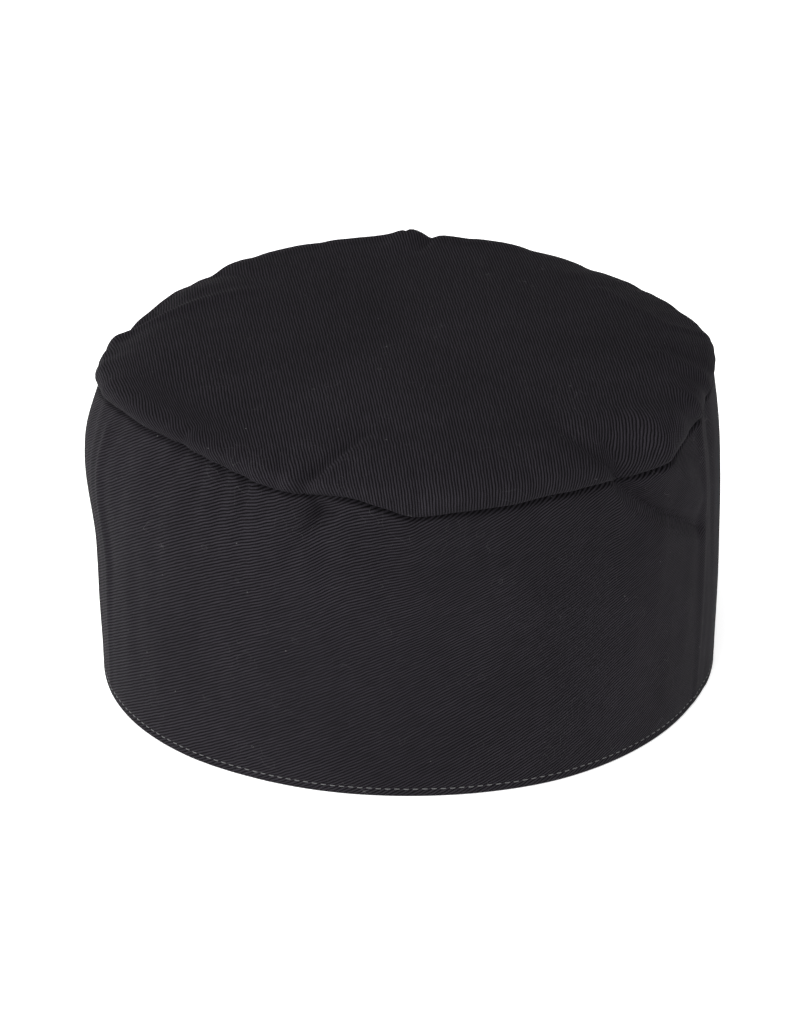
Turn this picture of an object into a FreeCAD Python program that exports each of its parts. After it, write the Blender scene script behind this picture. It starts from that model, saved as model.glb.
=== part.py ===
"""Chef's pillbox cap, the low round kind of toque: a flat crown on a stiffened band, with a
hook-and-loop closure across a vent at the rear.

Millimetres, +Z up. The origin is the centre of the head opening, on the plane that the hem
stands on. The front of the cap faces -Y and the rear closure is at +Y.
"""
import FreeCAD, Part
import math
import os

import Sketcher

PARTS_FOLDER = "parts"

# Each driving dimension: its name in the sheet, its value in millimetres, and what it is.
DRIVING_SIZES = [
    ("band_radius", 95.0, "outside of the band"),
    ("band_height", 100.0, "hem to crown seam"),
    ("head_radius", 91.4, "inside of the sweatband, a head of 57 cm"),
    ("cloth", 0.6, "one ply of twill"),
    ("interlining", 0.5, "fused stiffener between the band's plies"),
    ("tape", 0.45, "folded binding tape, one leaf"),
    ("ply_gap", 0.05, "air between two plies"),
    ("hem_roll", 0.3, "how far the lining's edge sits above the hem"),
    ("interlining_inset", 6.0, "interlining's edge to hem, seam and vent"),
    ("seam_allowance", 10.0, "crown cloth turned down inside the seam"),
    ("binding_cover", 7.0, "how much of an allowance its binding covers"),
    ("crown_rise", 14.5, "top of the crown above the seam"),
    ("shoulder_radius", 8.0, "roll of crown cloth over the seam"),
    ("sweatband_low", 1.0, "sweatband's lower edge"),
    ("sweatband_height", 28.0, "padded part of the sweatband"),
    ("selvedge_height", 6.0, "flat sewing edge above the padding"),
    ("selvedge", 0.8, "thickness of that sewing edge"),
    ("sweatband_sweep", 288.0, "degrees of the ring that the sweatband lines"),
    ("vent_half_width", 34.0, "half the rear vent's width"),
    ("vent_spring", 27.0, "where the vent's sides turn into its arch"),
    ("vent_tape", 6.0, "width of the tape that binds the vent"),
    ("strap", 1.25, "strap of folded twill"),
    ("strap_width", 25.0, "strap, edge to edge"),
    ("strap_low", 2.0, "strap's lower edge above the hem"),
    ("fold_offset", 36.0, "centre line to the fold of either strap"),
    ("anchor_length", 14.0, "sewn-down end of a strap"),
    ("hook_strap_reach", 30.0, "hook strap's tip past the centre line"),
    ("loop_strap_reach", 24.0, "loop strap's tip past the centre line"),
    ("strap_corner", 8.0, "rounding of a strap's tip"),
    ("fold_gap", 0.1, "between a strap and its sewn-down end"),
    ("tape_width", 20.0, "hook or loop tape"),
    ("hook_strap_lift", 0.3, "hook strap above the vent's tape, so that it folds clear"),
    ("hook_tape", 1.4, "hook tape with its hooks"),
    ("loop_tape", 1.4, "loop tape with its pile"),
    ("hook_tape_length", 30.0, "along the strap"),
    ("loop_tape_length", 49.0, "along the strap"),
    ("tape_setback", 4.0, "tape's end to the hook strap's tip"),
    ("label_width", 30.0, "care label"),
    ("label_height", 18.0, "care label"),
    ("label_low", 68.0, "care label's lower edge"),
    ("label", 0.3, "thickness of the care label"),
    ("thread", 0.12, "radius of the sewing thread"),
    ("thread_lift", 0.05, "air between a stitch and the cloth"),
    ("stitch_pitch", 2.9, "hole to hole"),
    ("stitch_share", 0.8, "share of the pitch where the thread lies on the cloth"),
    ("hem_stitch_height", 2.5, "topstitching above the hem"),
    ("edge_margin", 2.0, "stitching to the edge of a strap, tape or label"),
    ("cross_inset", 2.0, "a sewn box's side to the cross inside it"),
]

REACH = 120.0  # longer than any radius, for tools that must cut right through
OVERCUT = 1.0  # how far a cutting tool runs past the face it cuts


class Size:
    """A length that carries both its value and the sheet expression that it comes from."""

    def __init__(self, value, text):
        self.value = value
        self.text = text

    @staticmethod
    def of(other):
        return other if isinstance(other, Size) else Size(float(other), repr(float(other)))

    def __add__(self, other):
        other = Size.of(other)
        return Size(self.value + other.value, f"({self.text} + {other.text})")

    def __sub__(self, other):
        other = Size.of(other)
        return Size(self.value - other.value, f"({self.text} - {other.text})")

    def __mul__(self, factor):
        return Size(self.value * factor, f"({self.text} * {float(factor)!r})")

    def __neg__(self):
        return self * -1.0


def make_sheet(doc):
    """The spreadsheet of driving dimensions, and the same values as Size objects by name."""
    sheet = doc.addObject("Spreadsheet::Sheet", "Sizes")
    sizes = {}
    for row, (alias, value, meaning) in enumerate(DRIVING_SIZES, start=1):
        sheet.set(f"A{row}", meaning)
        sheet.set(f"B{row}", str(value))
        sheet.setAlias(f"B{row}", alias)
        sizes[alias] = Size(value, f"Sizes.{alias}")
    doc.recompute()
    return sizes


doc = FreeCAD.newDocument("chef_cap")
S = make_sheet(doc)
subparts = []

# Radii through the band's wall, from the outside in.
OUTSIDE = S["band_radius"]
BAND_BACK = OUTSIDE - S["cloth"]
INTERLINING_FACE = BAND_BACK - S["ply_gap"]
INTERLINING_BACK = INTERLINING_FACE - S["interlining"]
LINING_FACE = INTERLINING_BACK - S["ply_gap"]
LINING_BACK = LINING_FACE - S["cloth"]
INSIDE = LINING_BACK - S["ply_gap"]

# Radii of what lies against the wall: tape leaves on both sides, then what lies on the tape.
TAPE_FACE = OUTSIDE + S["ply_gap"] + S["tape"]
TAPE_BACK = INSIDE - S["tape"]
INNER_LAYER_FACE = TAPE_BACK - S["ply_gap"]
ALLOWANCE_BACK = INNER_LAYER_FACE - S["cloth"]
SEAM_BINDING_BACK = ALLOWANCE_BACK - S["ply_gap"] - S["tape"]
LOOP_STRAP_BACK = INNER_LAYER_FACE - S["strap"]
HOOK_STRAP_BACK = TAPE_FACE + S["hook_strap_lift"]
HOOK_STRAP_FACE = HOOK_STRAP_BACK + S["strap"]

STRAP_MIDDLE = S["strap_low"] + S["strap_width"] * 0.5
STRAP_TOP = S["strap_low"] + S["strap_width"]
TAPE_LOW = STRAP_MIDDLE - S["tape_width"] * 0.5


def bind(item, name, size):
    """Sets a property from a Size, bound to the sheet, or from a plain number."""
    if isinstance(size, Size):
        item.setExpression(name, size.text)
    else:
        setattr(item, name, size)


def keep(item, label):
    """Names a finished sub-part, which is what gets exported."""
    item.Label = label
    subparts.append(item)
    return item


# ---------------------------------------------------------------- building blocks


def cylinder(radius, low, height, sweep=None):
    """An upright cylinder on the cap's axis, or the part of one that is centred on the front."""
    item = doc.addObject("Part::Cylinder", "Cylinder")
    bind(item, "Radius", radius)
    bind(item, "Height", height)
    if sweep is not None:
        bind(item, "Angle", sweep)
    turn = "0 deg" if sweep is None else f"(-90 - {sweep.text} / 2) * 1 deg"
    item.setExpression("Placement.Rotation.Angle", turn)
    item.setExpression("Placement.Base.z", Size.of(low).text)
    return item


def cut(base, tool):
    item = doc.addObject("Part::Cut", "Cut")
    item.Base, item.Tool = base, tool
    return item


def fuse(base, tool):
    item = doc.addObject("Part::Fuse", "Fuse")
    item.Base, item.Tool = base, tool
    return item


def common(base, tool):
    item = doc.addObject("Part::Common", "Common")
    item.Base, item.Tool = base, tool
    return item


def ring(outer, inner, low, high, sweep=None):
    """The wall between two radii and two heights."""
    hole = cylinder(inner, Size.of(low) - OVERCUT, high - low + 2 * OVERCUT)
    return cut(cylinder(outer, low, high - low, sweep), hole)


def block(left, right, low, high):
    """A box from the axis rearwards, to cut or keep a patch of the rear wall."""
    item = doc.addObject("Part::Box", "Block")
    bind(item, "Length", right - left)
    bind(item, "Height", high - low)
    item.Width = REACH
    item.setExpression("Placement.Base.x", left.text)
    item.setExpression("Placement.Base.z", Size.of(low).text)
    return item


def patch(outer, inner, left, right, low, high):
    """The part of a rear wall between two radii that a block keeps."""
    wall = ring(outer, inner, low - OVERCUT, high + OVERCUT)
    return common(wall, block(left, right, low, high))


def arch(half_width, low):
    """The vent's outline, a slot with a round top, run out from the axis through the rear."""
    top = doc.addObject("Part::Cylinder", "ArchTop")
    bind(top, "Radius", half_width)
    top.Height = REACH
    # A cylinder stands along +Z, and a quarter turn back about X lays it along +Y.
    top.Placement.Rotation = FreeCAD.Rotation(FreeCAD.Vector(1, 0, 0), -90)
    top.setExpression("Placement.Base.z", S["vent_spring"].text)
    return fuse(block(-half_width, half_width, low, S["vent_spring"]), top)


def rear_point(radius, across, height):
    """The point on a rear wall of that radius, that far across from the centre line."""
    return FreeCAD.Vector(across, math.sqrt(radius**2 - across**2), height)


def ring_point(radius, turn, height):
    """The point on a ring, where turn is degrees from the rear, clockwise from above."""
    angle = math.radians(turn)
    return FreeCAD.Vector(radius * math.sin(angle), radius * math.cos(angle), height)


# ---------------------------------------------------------------- the cap's cloth


def crown_profile(sketch):
    """Half the crown's section: the allowance inside the seam, the rolled shoulder and the dome."""
    seam = S["band_height"] + S["ply_gap"]
    hang = S["band_height"] - S["seam_allowance"]
    roll_top = seam + S["cloth"]
    apex = S["band_height"] + S["crown_rise"]
    inner_apex = apex - S["cloth"]
    roll = S["shoulder_radius"]

    # The dome's circle touches the shoulder's, and its centre is on the cap's axis.
    arm = OUTSIDE.value - roll.value
    top = apex.value - roll.value
    rise = top - seam.value
    dome_height = (top**2 - arm**2 - seam.value**2) / (2 * rise)
    dome_radius = apex.value - dome_height
    lean = math.atan2(seam.value - dome_height, arm)

    def on_dome(radius):
        return radius * math.cos(lean), dome_height + radius * math.sin(lean)

    roll_end = math.sqrt((roll.value - S["cloth"].value) ** 2 - S["cloth"].value ** 2)
    corners = [
        (ALLOWANCE_BACK.value, hang.value),
        (INNER_LAYER_FACE.value, hang.value),
        (INNER_LAYER_FACE.value, seam.value),
        (OUTSIDE.value, seam.value),
        on_dome(dome_radius),
        (0.0, apex.value),
        (0.0, inner_apex.value),
        on_dome(dome_radius - S["cloth"].value),
        (arm + roll_end, roll_top.value),
        (ALLOWANCE_BACK.value, roll_top.value),
    ]
    points = [FreeCAD.Vector(x, y, 0) for x, y in corners]
    shoulder = FreeCAD.Vector(arm, seam.value, 0)
    dome = FreeCAD.Vector(0, dome_height, 0)

    def arc(centre, first, second):
        """An anticlockwise arc about a centre between two corners."""
        start, end = points[first] - centre, points[second] - centre
        circle = Part.Circle(centre, FreeCAD.Vector(0, 0, 1), start.Length)
        return Part.ArcOfCircle(
            circle, math.atan2(start.y, start.x), math.atan2(end.y, end.x)
        )

    def line(first, second):
        return Part.LineSegment(points[first], points[second])

    # The arcs run anticlockwise, so the two inner ones start at their outer corner.
    pieces = [line(0, 1), line(1, 2), line(2, 3), arc(shoulder, 3, 4), arc(dome, 4, 5)]
    pieces += [line(5, 6), arc(dome, 7, 6), arc(shoulder, 8, 7), line(8, 9), line(9, 0)]
    for piece in pieces:
        sketch.addGeometry(piece, False)

    start, end, centre = 1, 2, 3
    horizontal, vertical = (0, 2, 8), (1, 5, 9)
    joints = [(0, end, 1, start), (1, end, 2, start), (2, end, 3, start), (4, end, 5, start)]
    joints += [(5, end, 6, end), (7, start, 8, start), (8, end, 9, start), (9, end, 0, start)]
    add = sketch.addConstraint
    for first, where, second, there in joints:
        add(Sketcher.Constraint("Coincident", first, where, second, there))
    add(Sketcher.Constraint("Tangent", 3, end, 4, start))
    add(Sketcher.Constraint("Tangent", 7, end, 6, start))
    for line_number in horizontal:
        add(Sketcher.Constraint("Horizontal", line_number))
    for line_number in vertical:
        add(Sketcher.Constraint("Vertical", line_number))
    add(Sketcher.Constraint("PointOnObject", 5, start, -2))
    add(Sketcher.Constraint("PointOnObject", 4, centre, -2))
    add(Sketcher.Constraint("Coincident", 6, centre, 4, centre))
    add(Sketcher.Constraint("Coincident", 7, centre, 3, centre))
    # The shoulder's circle is upright where it leaves the seam.
    add(Sketcher.Constraint("Horizontal", 3, centre, 3, start))

    sized = [
        (("DistanceX", -1, 1, 9, end), ALLOWANCE_BACK),
        (("DistanceX", -1, 1, 1, start), INNER_LAYER_FACE),
        (("DistanceX", -1, 1, 3, start), OUTSIDE),
        (("DistanceY", -1, 1, 0, start), hang),
        (("DistanceY", -1, 1, 3, start), seam),
        (("DistanceY", -1, 1, 8, start), roll_top),
        (("DistanceY", -1, 1, 5, start), apex),
        (("DistanceY", -1, 1, 5, end), inner_apex),
        (("Radius", 3), roll),
    ]
    for words, size in sized:
        number = add(Sketcher.Constraint(*words, size.value))
        sketch.setExpression(f"Constraints[{number}]", size.text)


def sketch_on_rear_plane(body, name):
    """A sketch on the body's own XZ plane."""
    plane = next(f for f in body.Origin.OriginFeatures if f.Role == "XZ_Plane")
    sketch = body.newObject("Sketcher::SketchObject", name)
    sketch.AttachmentSupport = [(plane, "")]
    sketch.MapMode = "FlatFace"
    return sketch


def make_crown():
    """The round crown panel, one ply of twill, turned down inside the band at the seam."""
    body = doc.addObject("PartDesign::Body", "Crown")
    sketch = sketch_on_rear_plane(body, "CrownSection")
    crown_profile(sketch)
    turn = body.newObject("PartDesign::Revolution", "CrownTurn")
    turn.Profile = sketch
    turn.ReferenceAxis = (sketch, ["V_Axis"])
    turn.Angle = 360
    return keep(body, "crown_panel")


def make_band():
    """The band's three plies, each notched by the rear vent."""
    top = S["band_height"]
    vent = S["vent_half_width"]
    below = -Size.of(OVERCUT)
    keep(cut(ring(OUTSIDE, BAND_BACK, 0, top), arch(vent, below)), "band_panel")
    inset = S["interlining_inset"]
    stiff = ring(INTERLINING_FACE, INTERLINING_BACK, inset, top - inset)
    keep(cut(stiff, arch(vent + inset, below)), "band_interlining")
    lining = ring(LINING_FACE, LINING_BACK, S["hem_roll"], top)
    keep(cut(lining, arch(vent, below)), "band_lining")


def make_sweatband():
    """A padded strip inside the hem, with a flat edge above it that takes the stitching."""
    low = S["sweatband_low"]
    pad_top = low + S["sweatband_height"]
    top = pad_top + S["selvedge_height"]
    whole = ring(INSIDE, S["head_radius"], low, top, S["sweatband_sweep"])
    above = cylinder(INSIDE - S["selvedge"], pad_top, top - pad_top + OVERCUT)
    keep(cut(whole, above), "sweatband")


def make_bindings():
    """Folded tape over the crown seam's allowance, and over the vent's raw edge."""
    gap, tape = S["ply_gap"], S["tape"]
    hang = S["band_height"] - S["seam_allowance"]
    fold = hang - gap - tape
    top = hang + S["binding_cover"]
    whole = ring(INSIDE, SEAM_BINDING_BACK, fold, top)
    pocket = ring(INNER_LAYER_FACE + gap, ALLOWANCE_BACK - gap, hang - gap, top + OVERCUT)
    keep(cut(whole, pocket), "crown_seam_binding")

    vent = S["vent_half_width"]
    low = S["hem_roll"]
    below = low - OVERCUT
    edging = cut(arch(vent + S["vent_tape"], low), arch(vent - gap - tape, below))
    leaves = common(edging, ring(TAPE_FACE, TAPE_BACK, below, S["band_height"]))
    wall = ring(OUTSIDE + gap, LINING_BACK - gap, below, S["band_height"] + OVERCUT)
    keep(cut(leaves, cut(wall, arch(vent - gap, below - OVERCUT))), "vent_binding")


def make_label():
    """A blank woven care label, sewn flat inside the rear of the band."""
    half = S["label_width"] * 0.5
    low = S["label_low"]
    back = INSIDE - S["label"]
    keep(patch(INSIDE, back, -half, half, low, low + S["label_height"]), "care_label")


# ---------------------------------------------------------------- the rear closure


def strap_outline(root, tip, name):
    """The flat outline of a strap with a rounded tip, padded through the rear wall."""
    low, high, corner = S["strap_low"], STRAP_TOP, S["strap_corner"]
    side = 1.0 if tip.value > root.value else -1.0
    shoulder = tip - corner * side
    corners = [
        (root, low),
        (shoulder, low),
        (tip, low + corner),
        (tip, high - corner),
        (shoulder, high),
        (root, high),
    ]
    points = [FreeCAD.Vector(x.value, y.value, 0) for x, y in corners]
    body = doc.addObject("PartDesign::Body", name)
    sketch = sketch_on_rear_plane(body, name + "Outline")
    lengths = math.sqrt(0.5) * corner.value
    for number, point in enumerate(points):
        following = points[(number + 1) % len(points)]
        if number in (1, 3):
            centre_height = (low + corner if number == 1 else high - corner).value
            middle = FreeCAD.Vector(
                shoulder.value + side * lengths,
                centre_height + (-lengths if number == 1 else lengths),
                0,
            )
            sketch.addGeometry(Part.Arc(point, middle, following), False)
        else:
            sketch.addGeometry(Part.LineSegment(point, following), False)
    # A three-point arc is kept anticlockwise, so on a strap that runs to -X its ends swap.
    arcs_swapped = side < 0

    def end_of(number, at_start):
        is_arc = number in (1, 3)
        if is_arc and arcs_swapped:
            at_start = not at_start
        return 1 if at_start else 2

    for number in range(len(points)):
        following = (number + 1) % len(points)
        words = (number, end_of(number, False), following, end_of(following, True))
        sketch.addConstraint(Sketcher.Constraint("Coincident", *words))
    for number, (x, y) in enumerate(corners):
        where = end_of(number, True)
        for kind, size in (("DistanceX", x), ("DistanceY", y)):
            words = (kind, -1, 1, number, where, size.value)
            index = sketch.addConstraint(Sketcher.Constraint(*words))
            sketch.setExpression(f"Constraints[{index}]", size.text)
    for number in (1, 3):
        words = ("Radius", number, corner.value)
        index = sketch.addConstraint(Sketcher.Constraint(*words))
        sketch.setExpression(f"Constraints[{index}]", corner.text)
    pad = body.newObject("PartDesign::Pad", name + "Pad")
    pad.Profile = sketch
    pad.Length = REACH
    pad.Reversed = True
    return body


def make_hook_strap():
    """The outer strap: sewn down at -X, folding outwards, with hook tape on its inner face."""
    fold = -S["fold_offset"]
    tip = S["hook_strap_reach"]
    low, gap = S["strap_low"], S["ply_gap"]
    anchor = patch(
        HOOK_STRAP_FACE, HOOK_STRAP_BACK, fold - S["anchor_length"], fold - S["fold_gap"],
        low, STRAP_TOP,
    )
    keep(anchor, "hook_strap_anchor")
    sleeve = ring(HOOK_STRAP_FACE, HOOK_STRAP_BACK, low - OVERCUT, STRAP_TOP + OVERCUT)
    keep(common(sleeve, strap_outline(fold, tip, "HookStrap")), "hook_strap")
    face = HOOK_STRAP_BACK - gap
    end = tip - S["tape_setback"]
    tape = patch(
        face, face - S["hook_tape"], end - S["hook_tape_length"], end,
        TAPE_LOW, TAPE_LOW + S["tape_width"],
    )
    keep(tape, "hook_tape")


def make_loop_strap():
    """The inner strap: sewn down at +X, folding inwards, with loop tape on its outer face."""
    fold = S["fold_offset"]
    tip = -S["loop_strap_reach"]
    low, gap = S["strap_low"], S["ply_gap"]
    anchor = patch(
        INNER_LAYER_FACE, LOOP_STRAP_BACK, fold + S["fold_gap"], fold + S["anchor_length"],
        low, STRAP_TOP,
    )
    keep(anchor, "loop_strap_anchor")
    sleeve = ring(INNER_LAYER_FACE, LOOP_STRAP_BACK, low - OVERCUT, STRAP_TOP + OVERCUT)
    keep(common(sleeve, strap_outline(fold, tip, "LoopStrap")), "loop_strap")
    back = INNER_LAYER_FACE + gap
    end = tip + S["tape_setback"]
    tape = patch(
        back + S["loop_tape"], back, end, end + S["loop_tape_length"],
        TAPE_LOW, TAPE_LOW + S["tape_width"],
    )
    keep(tape, "loop_tape")


# ---------------------------------------------------------------- the stitching


def stitches(points):
    """One short length of thread in each interval between needle holes."""
    share = S["stitch_share"].value
    made = []
    for first, second in zip(points, points[1:]):
        run = (second - first) * share
        start = first + (second - first) * ((1 - share) / 2)
        made.append(Part.makeCylinder(S["thread"].value, run.Length, start, run))
    return made


def spaced(length):
    """Needle holes along a seam of that length, as shares of it."""
    count = max(1, round(length / S["stitch_pitch"].value))
    return [number / count for number in range(count + 1)]


def keep_stitches(solids, label):
    item = doc.addObject("Part::Feature", "Stitches")
    item.Shape = Part.makeCompound(solids)
    item.Placement = FreeCAD.Placement()
    keep(item, label)


def ring_row(radius, height, first_turn, last_turn):
    """A row of stitches round the cap between two turns from the rear."""
    sweep = last_turn - first_turn
    shares = spaced(math.radians(sweep) * radius)
    return stitches([ring_point(radius, first_turn + sweep * s, height) for s in shares])


def rear_run(radius, start, end):
    """A straight run of stitches on a rear wall, from one (across, height) to another."""
    shares = spaced(math.dist(start, end))
    flat = [[a + (b - a) * s for a, b in zip(start, end)] for s in shares]
    return stitches([rear_point(radius, across, height) for across, height in flat])


def rear_bend(radius, centre, size, first_turn, last_turn):
    """A quarter or half circle of stitches on a rear wall. Turns are from +X towards +Z."""
    sweep = math.radians(last_turn - first_turn)
    turns = [math.radians(first_turn) + sweep * s for s in spaced(abs(sweep) * size)]
    flat = [(centre[0] + size * math.cos(t), centre[1] + size * math.sin(t)) for t in turns]
    return stitches([rear_point(radius, across, height) for across, height in flat])


def rear_box(radius, left, right, low, high):
    """Four straight runs round a rectangle."""
    corners = [(left, low), (right, low), (right, high), (left, high), (left, low)]
    made = []
    for start, end in zip(corners, corners[1:]):
        made += rear_run(radius, start, end)
    return made


def outer_thread(face):
    """The radius of stitches that lie on a face that looks outwards."""
    return (face + S["thread_lift"] + S["thread"]).value


def inner_thread(face):
    """The radius of stitches that lie on a face that looks inwards."""
    return (face - S["thread_lift"] - S["thread"]).value


def make_cap_stitching():
    """The rows on the band, the sweatband, both bindings and the label."""
    radius = outer_thread(OUTSIDE)
    clear = (S["vent_half_width"] + S["vent_tape"]).value + S["stitch_pitch"].value / 2
    vent_turn = math.degrees(math.asin(clear / radius))
    height = S["hem_stitch_height"].value
    keep_stitches(ring_row(radius, height, vent_turn, 360 - vent_turn), "hem_topstitching")

    height = (S["band_height"] - S["seam_allowance"] + S["binding_cover"] * 0.5).value
    row = ring_row(inner_thread(SEAM_BINDING_BACK), height, 0, 360)
    keep_stitches(row, "crown_seam_stitching")

    height = (
        S["sweatband_low"] + S["sweatband_height"] + S["selvedge_height"] * 0.5
    ).value
    gap_turn = 180 - S["sweatband_sweep"].value / 2
    row = ring_row(inner_thread(INSIDE - S["selvedge"]), height, gap_turn, 360 - gap_turn)
    keep_stitches(row, "sweatband_stitching")

    # The hook strap covers the tape's row at -X, so that side starts above the strap.
    radius = outer_thread(TAPE_FACE)
    side = (S["vent_half_width"] + S["vent_tape"] * 0.5).value
    spring = S["vent_spring"].value
    above_strap = STRAP_TOP.value + S["thread"].value + S["thread_lift"].value
    start = math.degrees(math.asin((above_strap - spring) / side))
    row = rear_run(radius, (side, S["hem_roll"].value + S["thread"].value), (side, spring))
    row += rear_bend(radius, (0, spring), side, 0, 180 - start)
    keep_stitches(row, "vent_binding_stitching")

    half = (S["label_width"] * 0.5 - S["edge_margin"]).value
    low = (S["label_low"] + S["edge_margin"]).value
    high = (S["label_low"] + S["label_height"] - S["edge_margin"]).value
    row = rear_box(inner_thread(INSIDE - S["label"]), -half, half, low, high)
    keep_stitches(row, "care_label_stitching")


def anchor_row(radius, side, lift):
    """A box with a cross in it on a strap's sewn-down end. The second diagonal lies on top."""
    margin = S["edge_margin"].value
    near = S["fold_offset"].value + margin
    far = S["fold_offset"].value + S["anchor_length"].value - margin
    left, right = sorted((side * near, side * far))
    low, high = S["strap_low"].value + margin, STRAP_TOP.value - margin
    made = rear_box(radius, left, right, low, high)
    cross = S["cross_inset"].value
    left, right = left + cross, right - cross
    low, high = low + 2 * cross, high - 2 * cross
    made += rear_run(radius, (left, low), (right, high))
    made += rear_run(radius + lift, (left, high), (right, low))
    return made


def edge_row(radius, root, tip):
    """A row inside a strap's edge, out to its rounded tip and back."""
    margin = S["edge_margin"].value
    side = 1 if tip > root else -1
    low, high = S["strap_low"].value + margin, STRAP_TOP.value - margin
    bend = S["strap_corner"].value - margin
    start = root + side * margin
    shoulder = tip - side * S["strap_corner"].value
    edge = tip - side * margin
    quarter = (270, 360, 0, 90) if side > 0 else (270, 180, 180, 90)
    row = rear_run(radius, (start, low), (shoulder, low))
    row += rear_bend(radius, (shoulder, low + bend), bend, *quarter[:2])
    row += rear_run(radius, (edge, low + bend), (edge, high - bend))
    row += rear_bend(radius, (shoulder, high - bend), bend, *quarter[2:])
    row += rear_run(radius, (shoulder, high), (start, high))
    return row


def make_strap_stitching():
    """The rows on the straps and their sewn-down ends."""
    over = 2 * S["thread"].value + S["thread_lift"].value
    margin = S["edge_margin"].value
    fold = S["fold_offset"].value
    low, high = TAPE_LOW.value + margin, TAPE_LOW.value + S["tape_width"].value - margin

    radius = outer_thread(HOOK_STRAP_FACE)
    tip = S["hook_strap_reach"].value
    end = tip - S["tape_setback"].value
    start = end - S["hook_tape_length"].value
    keep_stitches(anchor_row(radius, -1, over), "hook_strap_anchor_stitching")
    keep_stitches(edge_row(radius, -fold, tip), "hook_strap_edge_stitching")
    box = rear_box(radius, start + margin, end - margin, low, high)
    keep_stitches(box, "hook_tape_stitching")

    radius = inner_thread(LOOP_STRAP_BACK)
    tip = -S["loop_strap_reach"].value
    start = tip + S["tape_setback"].value
    end = start + S["loop_tape_length"].value
    keep_stitches(anchor_row(radius, 1, 0.0), "loop_strap_anchor_stitching")
    keep_stitches(edge_row(radius, fold, tip), "loop_strap_edge_stitching")
    box = rear_box(radius, start + margin, end - margin, low, high)
    keep_stitches(box, "loop_tape_stitching")


# ---------------------------------------------------------------- build, check and write


def check():
    """Stops with a plain message if anything failed to build."""
    doc.recompute()
    for item in doc.Objects:
        if {"Invalid", "Error"} & set(item.State):
            raise SystemExit(f"{item.Name} failed: {item.State}")
    for item in subparts:
        shape = item.Shape
        if shape.isNull() or not shape.isValid() or not shape.Solids:
            raise SystemExit(f"{item.Label} has no valid solid")


def write():
    os.makedirs(PARTS_FOLDER, exist_ok=True)
    for item in subparts:
        item.Shape.exportStep(os.path.join(PARTS_FOLDER, item.Label + ".step"))


make_crown()
make_band()
make_sweatband()
make_bindings()
make_label()
make_hook_strap()
make_loop_strap()
make_cap_stitching()
make_strap_stitching()
check()
write()
for item in subparts:
    box = item.Shape.BoundBox
    print(
        f"{item.Label}: {len(item.Shape.Solids)} solids, {item.Shape.Volume:.1f} mm3, "
        f"x {box.XMin:.1f}..{box.XMax:.1f} y {box.YMin:.1f}..{box.YMax:.1f} "
        f"z {box.ZMin:.1f}..{box.ZMax:.1f}"
    )
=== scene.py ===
"""Looks of the chef's pillbox cap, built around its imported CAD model.

Lengths are millimetres until a mesh is made, in metres. A turn is an angle round the cap in degrees: 0 is
the front, 90 is the +X side and 180 is the rear. A wall point is a turn, a height and a radius on the
undistorted band, and wall_points() moves it to where the soft, creased cloth is.
"""
import math

import bpy
import numpy as np
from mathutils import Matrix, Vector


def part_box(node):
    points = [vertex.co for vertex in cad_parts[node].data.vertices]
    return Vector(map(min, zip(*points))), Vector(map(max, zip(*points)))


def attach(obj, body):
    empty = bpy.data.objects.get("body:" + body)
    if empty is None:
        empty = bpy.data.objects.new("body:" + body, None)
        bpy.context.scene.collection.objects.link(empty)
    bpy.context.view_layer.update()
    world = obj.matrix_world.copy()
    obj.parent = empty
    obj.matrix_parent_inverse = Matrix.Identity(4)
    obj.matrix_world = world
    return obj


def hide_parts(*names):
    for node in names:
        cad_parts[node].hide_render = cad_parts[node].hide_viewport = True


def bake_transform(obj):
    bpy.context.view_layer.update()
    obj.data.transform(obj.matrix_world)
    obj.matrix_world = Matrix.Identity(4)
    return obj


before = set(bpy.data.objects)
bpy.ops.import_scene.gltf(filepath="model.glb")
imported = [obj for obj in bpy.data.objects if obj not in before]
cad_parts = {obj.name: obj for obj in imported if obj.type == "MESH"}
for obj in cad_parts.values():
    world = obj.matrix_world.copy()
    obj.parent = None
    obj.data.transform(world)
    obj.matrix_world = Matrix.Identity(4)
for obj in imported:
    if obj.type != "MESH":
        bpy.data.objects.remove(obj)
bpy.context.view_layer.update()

METRE = 1000.0
rng = np.random.default_rng(20)


# ---------------------------------------------------------------- sizes, read from the CAD nodes


def corners(node):
    """The lowest and highest corner of a CAD node, in millimetres."""
    low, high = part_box(node)
    return np.array(low) * METRE, np.array(high) * METRE


BAND_HIGH = corners("band_panel")[1]
BAND_RADIUS = BAND_HIGH[0]
BAND_TOP = BAND_HIGH[2]
PLY = 0.6
LINING_RADIUS = corners("band_lining")[1][0]
INTERLINING_RADIUS = corners("band_interlining")[1][0]
INTERLINING_LOW = corners("band_interlining")[0][2]
INTERLINING_TOP = corners("band_interlining")[1][2]
INSIDE = LINING_RADIUS - PLY - 0.05
SEAM_ALLOWANCE_LOW = corners("crown_panel")[0][2]
SEAM_TAPE_LOW, SEAM_TAPE_HIGH = (c[2] for c in corners("crown_seam_binding"))
SWEAT_LOW, SWEAT_HIGH = (c[2] for c in corners("sweatband"))
VENT_TAPE_LOW, VENT_TAPE_HIGH = corners("vent_binding")
STRAP_LOW, STRAP_HIGH = (c[2] for c in corners("hook_strap"))
HOOK_FOLD, HOOK_TIP = (c[0] for c in corners("hook_strap"))
LOOP_TIP, LOOP_FOLD = (c[0] for c in corners("loop_strap"))

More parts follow.
